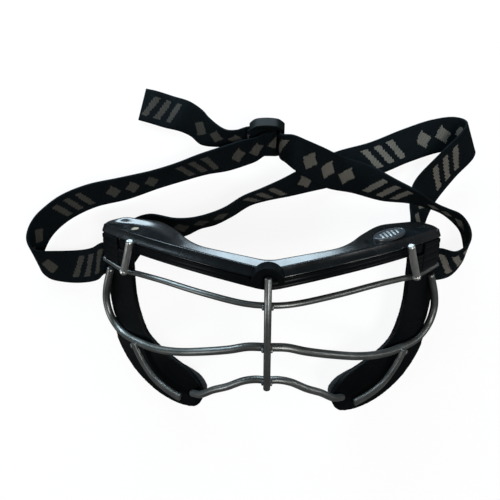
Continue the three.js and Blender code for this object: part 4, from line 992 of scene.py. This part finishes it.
cloth = Finish("webbing_woven", Roughness=0.8, Specular_IOR_Level=0.02)
along, across = cloth.axes(cloth.node("ShaderNodeTexCoord", output=2))[:2]
run_mm = along * 1000
width_mm = across * WEB_WIDTH
fuzz = cloth.grain(1500, 3)
ragged = (fuzz - 0.5) * 0.7
run_cell = ((run_mm + ragged) / CELL).floor() * CELL
from_middle = ((width_mm + ragged) / CELL).floor() * CELL - WEB_WIDTH / 2 + CELL / 2
at = run_cell % PERIOD
leaning = at + from_middle * SLASH_LEAN
slashes = ((from_middle.size() < SLASH_REACH) * ((leaning % SLASH_PITCH) < SLASH_WIDTH)
           * (leaning > SLASH_PITCH) * (leaning < SLASH_END))
along_lozenge = (at - LOZENGE_START) % LOZENGE_PITCH - LOZENGE_PITCH / 2
from_lozenge = along_lozenge.size() * LOZENGE_STRETCH + from_middle.size()
lozenges = (from_lozenge < LOZENGE_SIZE) * (at > LOZENGE_START) * (at < LOZENGE_END)
motif = slashes.greater(lozenges)
thread = (run_mm * (2 * math.pi / RUN_THREAD)).sine() * 0.5 + 0.5
every_other = (run_mm / RUN_THREAD).floor() * math.pi
pick_thread = (width_mm * (2 * math.pi / PICK_THREAD) + every_other).sine() * 0.5 + 0.5
weave_height = thread * 0.6 + pick_thread * 0.5 + fuzz * 0.4
# Painted shade: the grey motif is painted darker towards the left end of the strap, down to 35 % on the left loop, and
# its tone also varies at random.
motif_shade_and_tone = ((cloth.axes(cloth.here)[0] + 0.02) * 14.0).lesser(1).greater(0) * 0.65 + 0.35
motif_shade_and_tone = motif_shade_and_tone * (0.75 + cloth.grain(45, 2) * 0.5)
dark = cloth.blend(weave_height.ramp(0.2, 1.2), (0.0014, 0.0026, 0.0034), (0.0052, 0.0078, 0.0092))
grey = cloth.blend(weave_height.ramp(0.2, 1.2), (0.042, 0.04, 0.034), (0.165, 0.156, 0.135))
cloth.set(Base_Color=cloth.blend(motif * motif_shade_and_tone, dark, grey),
          Normal=cloth.relief(weave_height + motif * 0.35, 0.00022, 0.8))

right_run, right_length = webbing("strap_right_run_webbing", [
    in_slot(1, 0), in_slot(1, SLOT_RUN), *map(on_table, RIGHT_RUN[::-1]),
    *[through_slider(*station) for station in STRAIGHT], *map(on_table, TAIL)])
finish_piece(right_run, cloth, "webbing", "strap_right_run", smooth=40)
back_run, back_length = webbing("strap_back_run_webbing", [
    in_slot(-1, -SLOT_RUN), *map(on_table, BACK_RUN), in_slot(1, -SLOT_RUN)])
finish_piece(back_run, cloth, "webbing", "strap_back_run", smooth=40)
left_run, left_length = webbing("strap_left_run_webbing", [
    in_slot(-1, 0), in_slot(-1, SLOT_RUN), *map(on_table, LEFT_RUN),
    *[through_slider(*station) for station in FOLD]], rows=32)
for vertex in left_run.data.vertices:
    place = (vertex.co - slider_middle) / MM
    spot = Vector((place.x, place.dot(slider_across)))
    if spot.x < RIDGES_FROM or place.dot(slider_outward) < RIDGES_IN_FRONT:
        continue
    for start, end, height, spread in FOLD_RIDGES:
        start, end = Vector(start), Vector(end)
        share = min(max((spot - start).dot(end - start) / (end - start).length_squared, 0), 1)
        away = (spot - start.lerp(end, share)).length / spread
        fade = math.sin(math.pi * (0.15 + 0.7 * share))
        vertex.co += slider_outward * height * fade * MM * math.exp(-away * away)
finish_piece(left_run, cloth, "webbing", "strap_left_run", "strap_sewn_end", body=None, smooth=40)
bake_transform(left_run)

# Slider
# A moulded black buckle with three bars, its outline domed towards the top. The strap's sewn end
# is folded round the middle bar.
SLIDER_GRAIN, SLIDER_PASSES, SLIDER_REACH = 0.22, 26, 11.0
DOME_START, DOME_FADE, DOME_DROP, DOME_LIFT = 0.5, 0.4, 1.6, 0.5
slider_black = Finish("slider_satin_black", Specular_IOR_Level=0.04)
fleck = slider_black.grain(1200, 3, 0.6)
slider_black.set(
    Base_Color=slider_black.blend(fleck, (0.0012, 0.002, 0.002), (0.003, 0.0046, 0.0046)),
    Roughness=0.34 + fleck * 0.14, Normal=slider_black.relief(fleck, 0.00003, 0.6))
slider = moulded("strap_slider_buckle", "strap_slider", SLIDER_GRAIN, SLIDER_PASSES)
for vertex in slider.data.vertices:
    height = (vertex.co - slider_middle).dot(slider_across) / (SLIDER_REACH * MM)
    aside = (vertex.co.x - slider_middle.x) / (SLIDER_LENGTH / 2 * MM)
    if height > DOME_START:
        eased = min((height - DOME_START) / DOME_FADE, 1) * MM
        vertex.co -= slider_across * DOME_DROP * aside * aside * eased
        vertex.co += slider_across * DOME_LIFT * (1 - aside * aside) * eased
finish_piece(slider, slider_black, "slider_black", "strap_slider", body="slider", smooth=0)
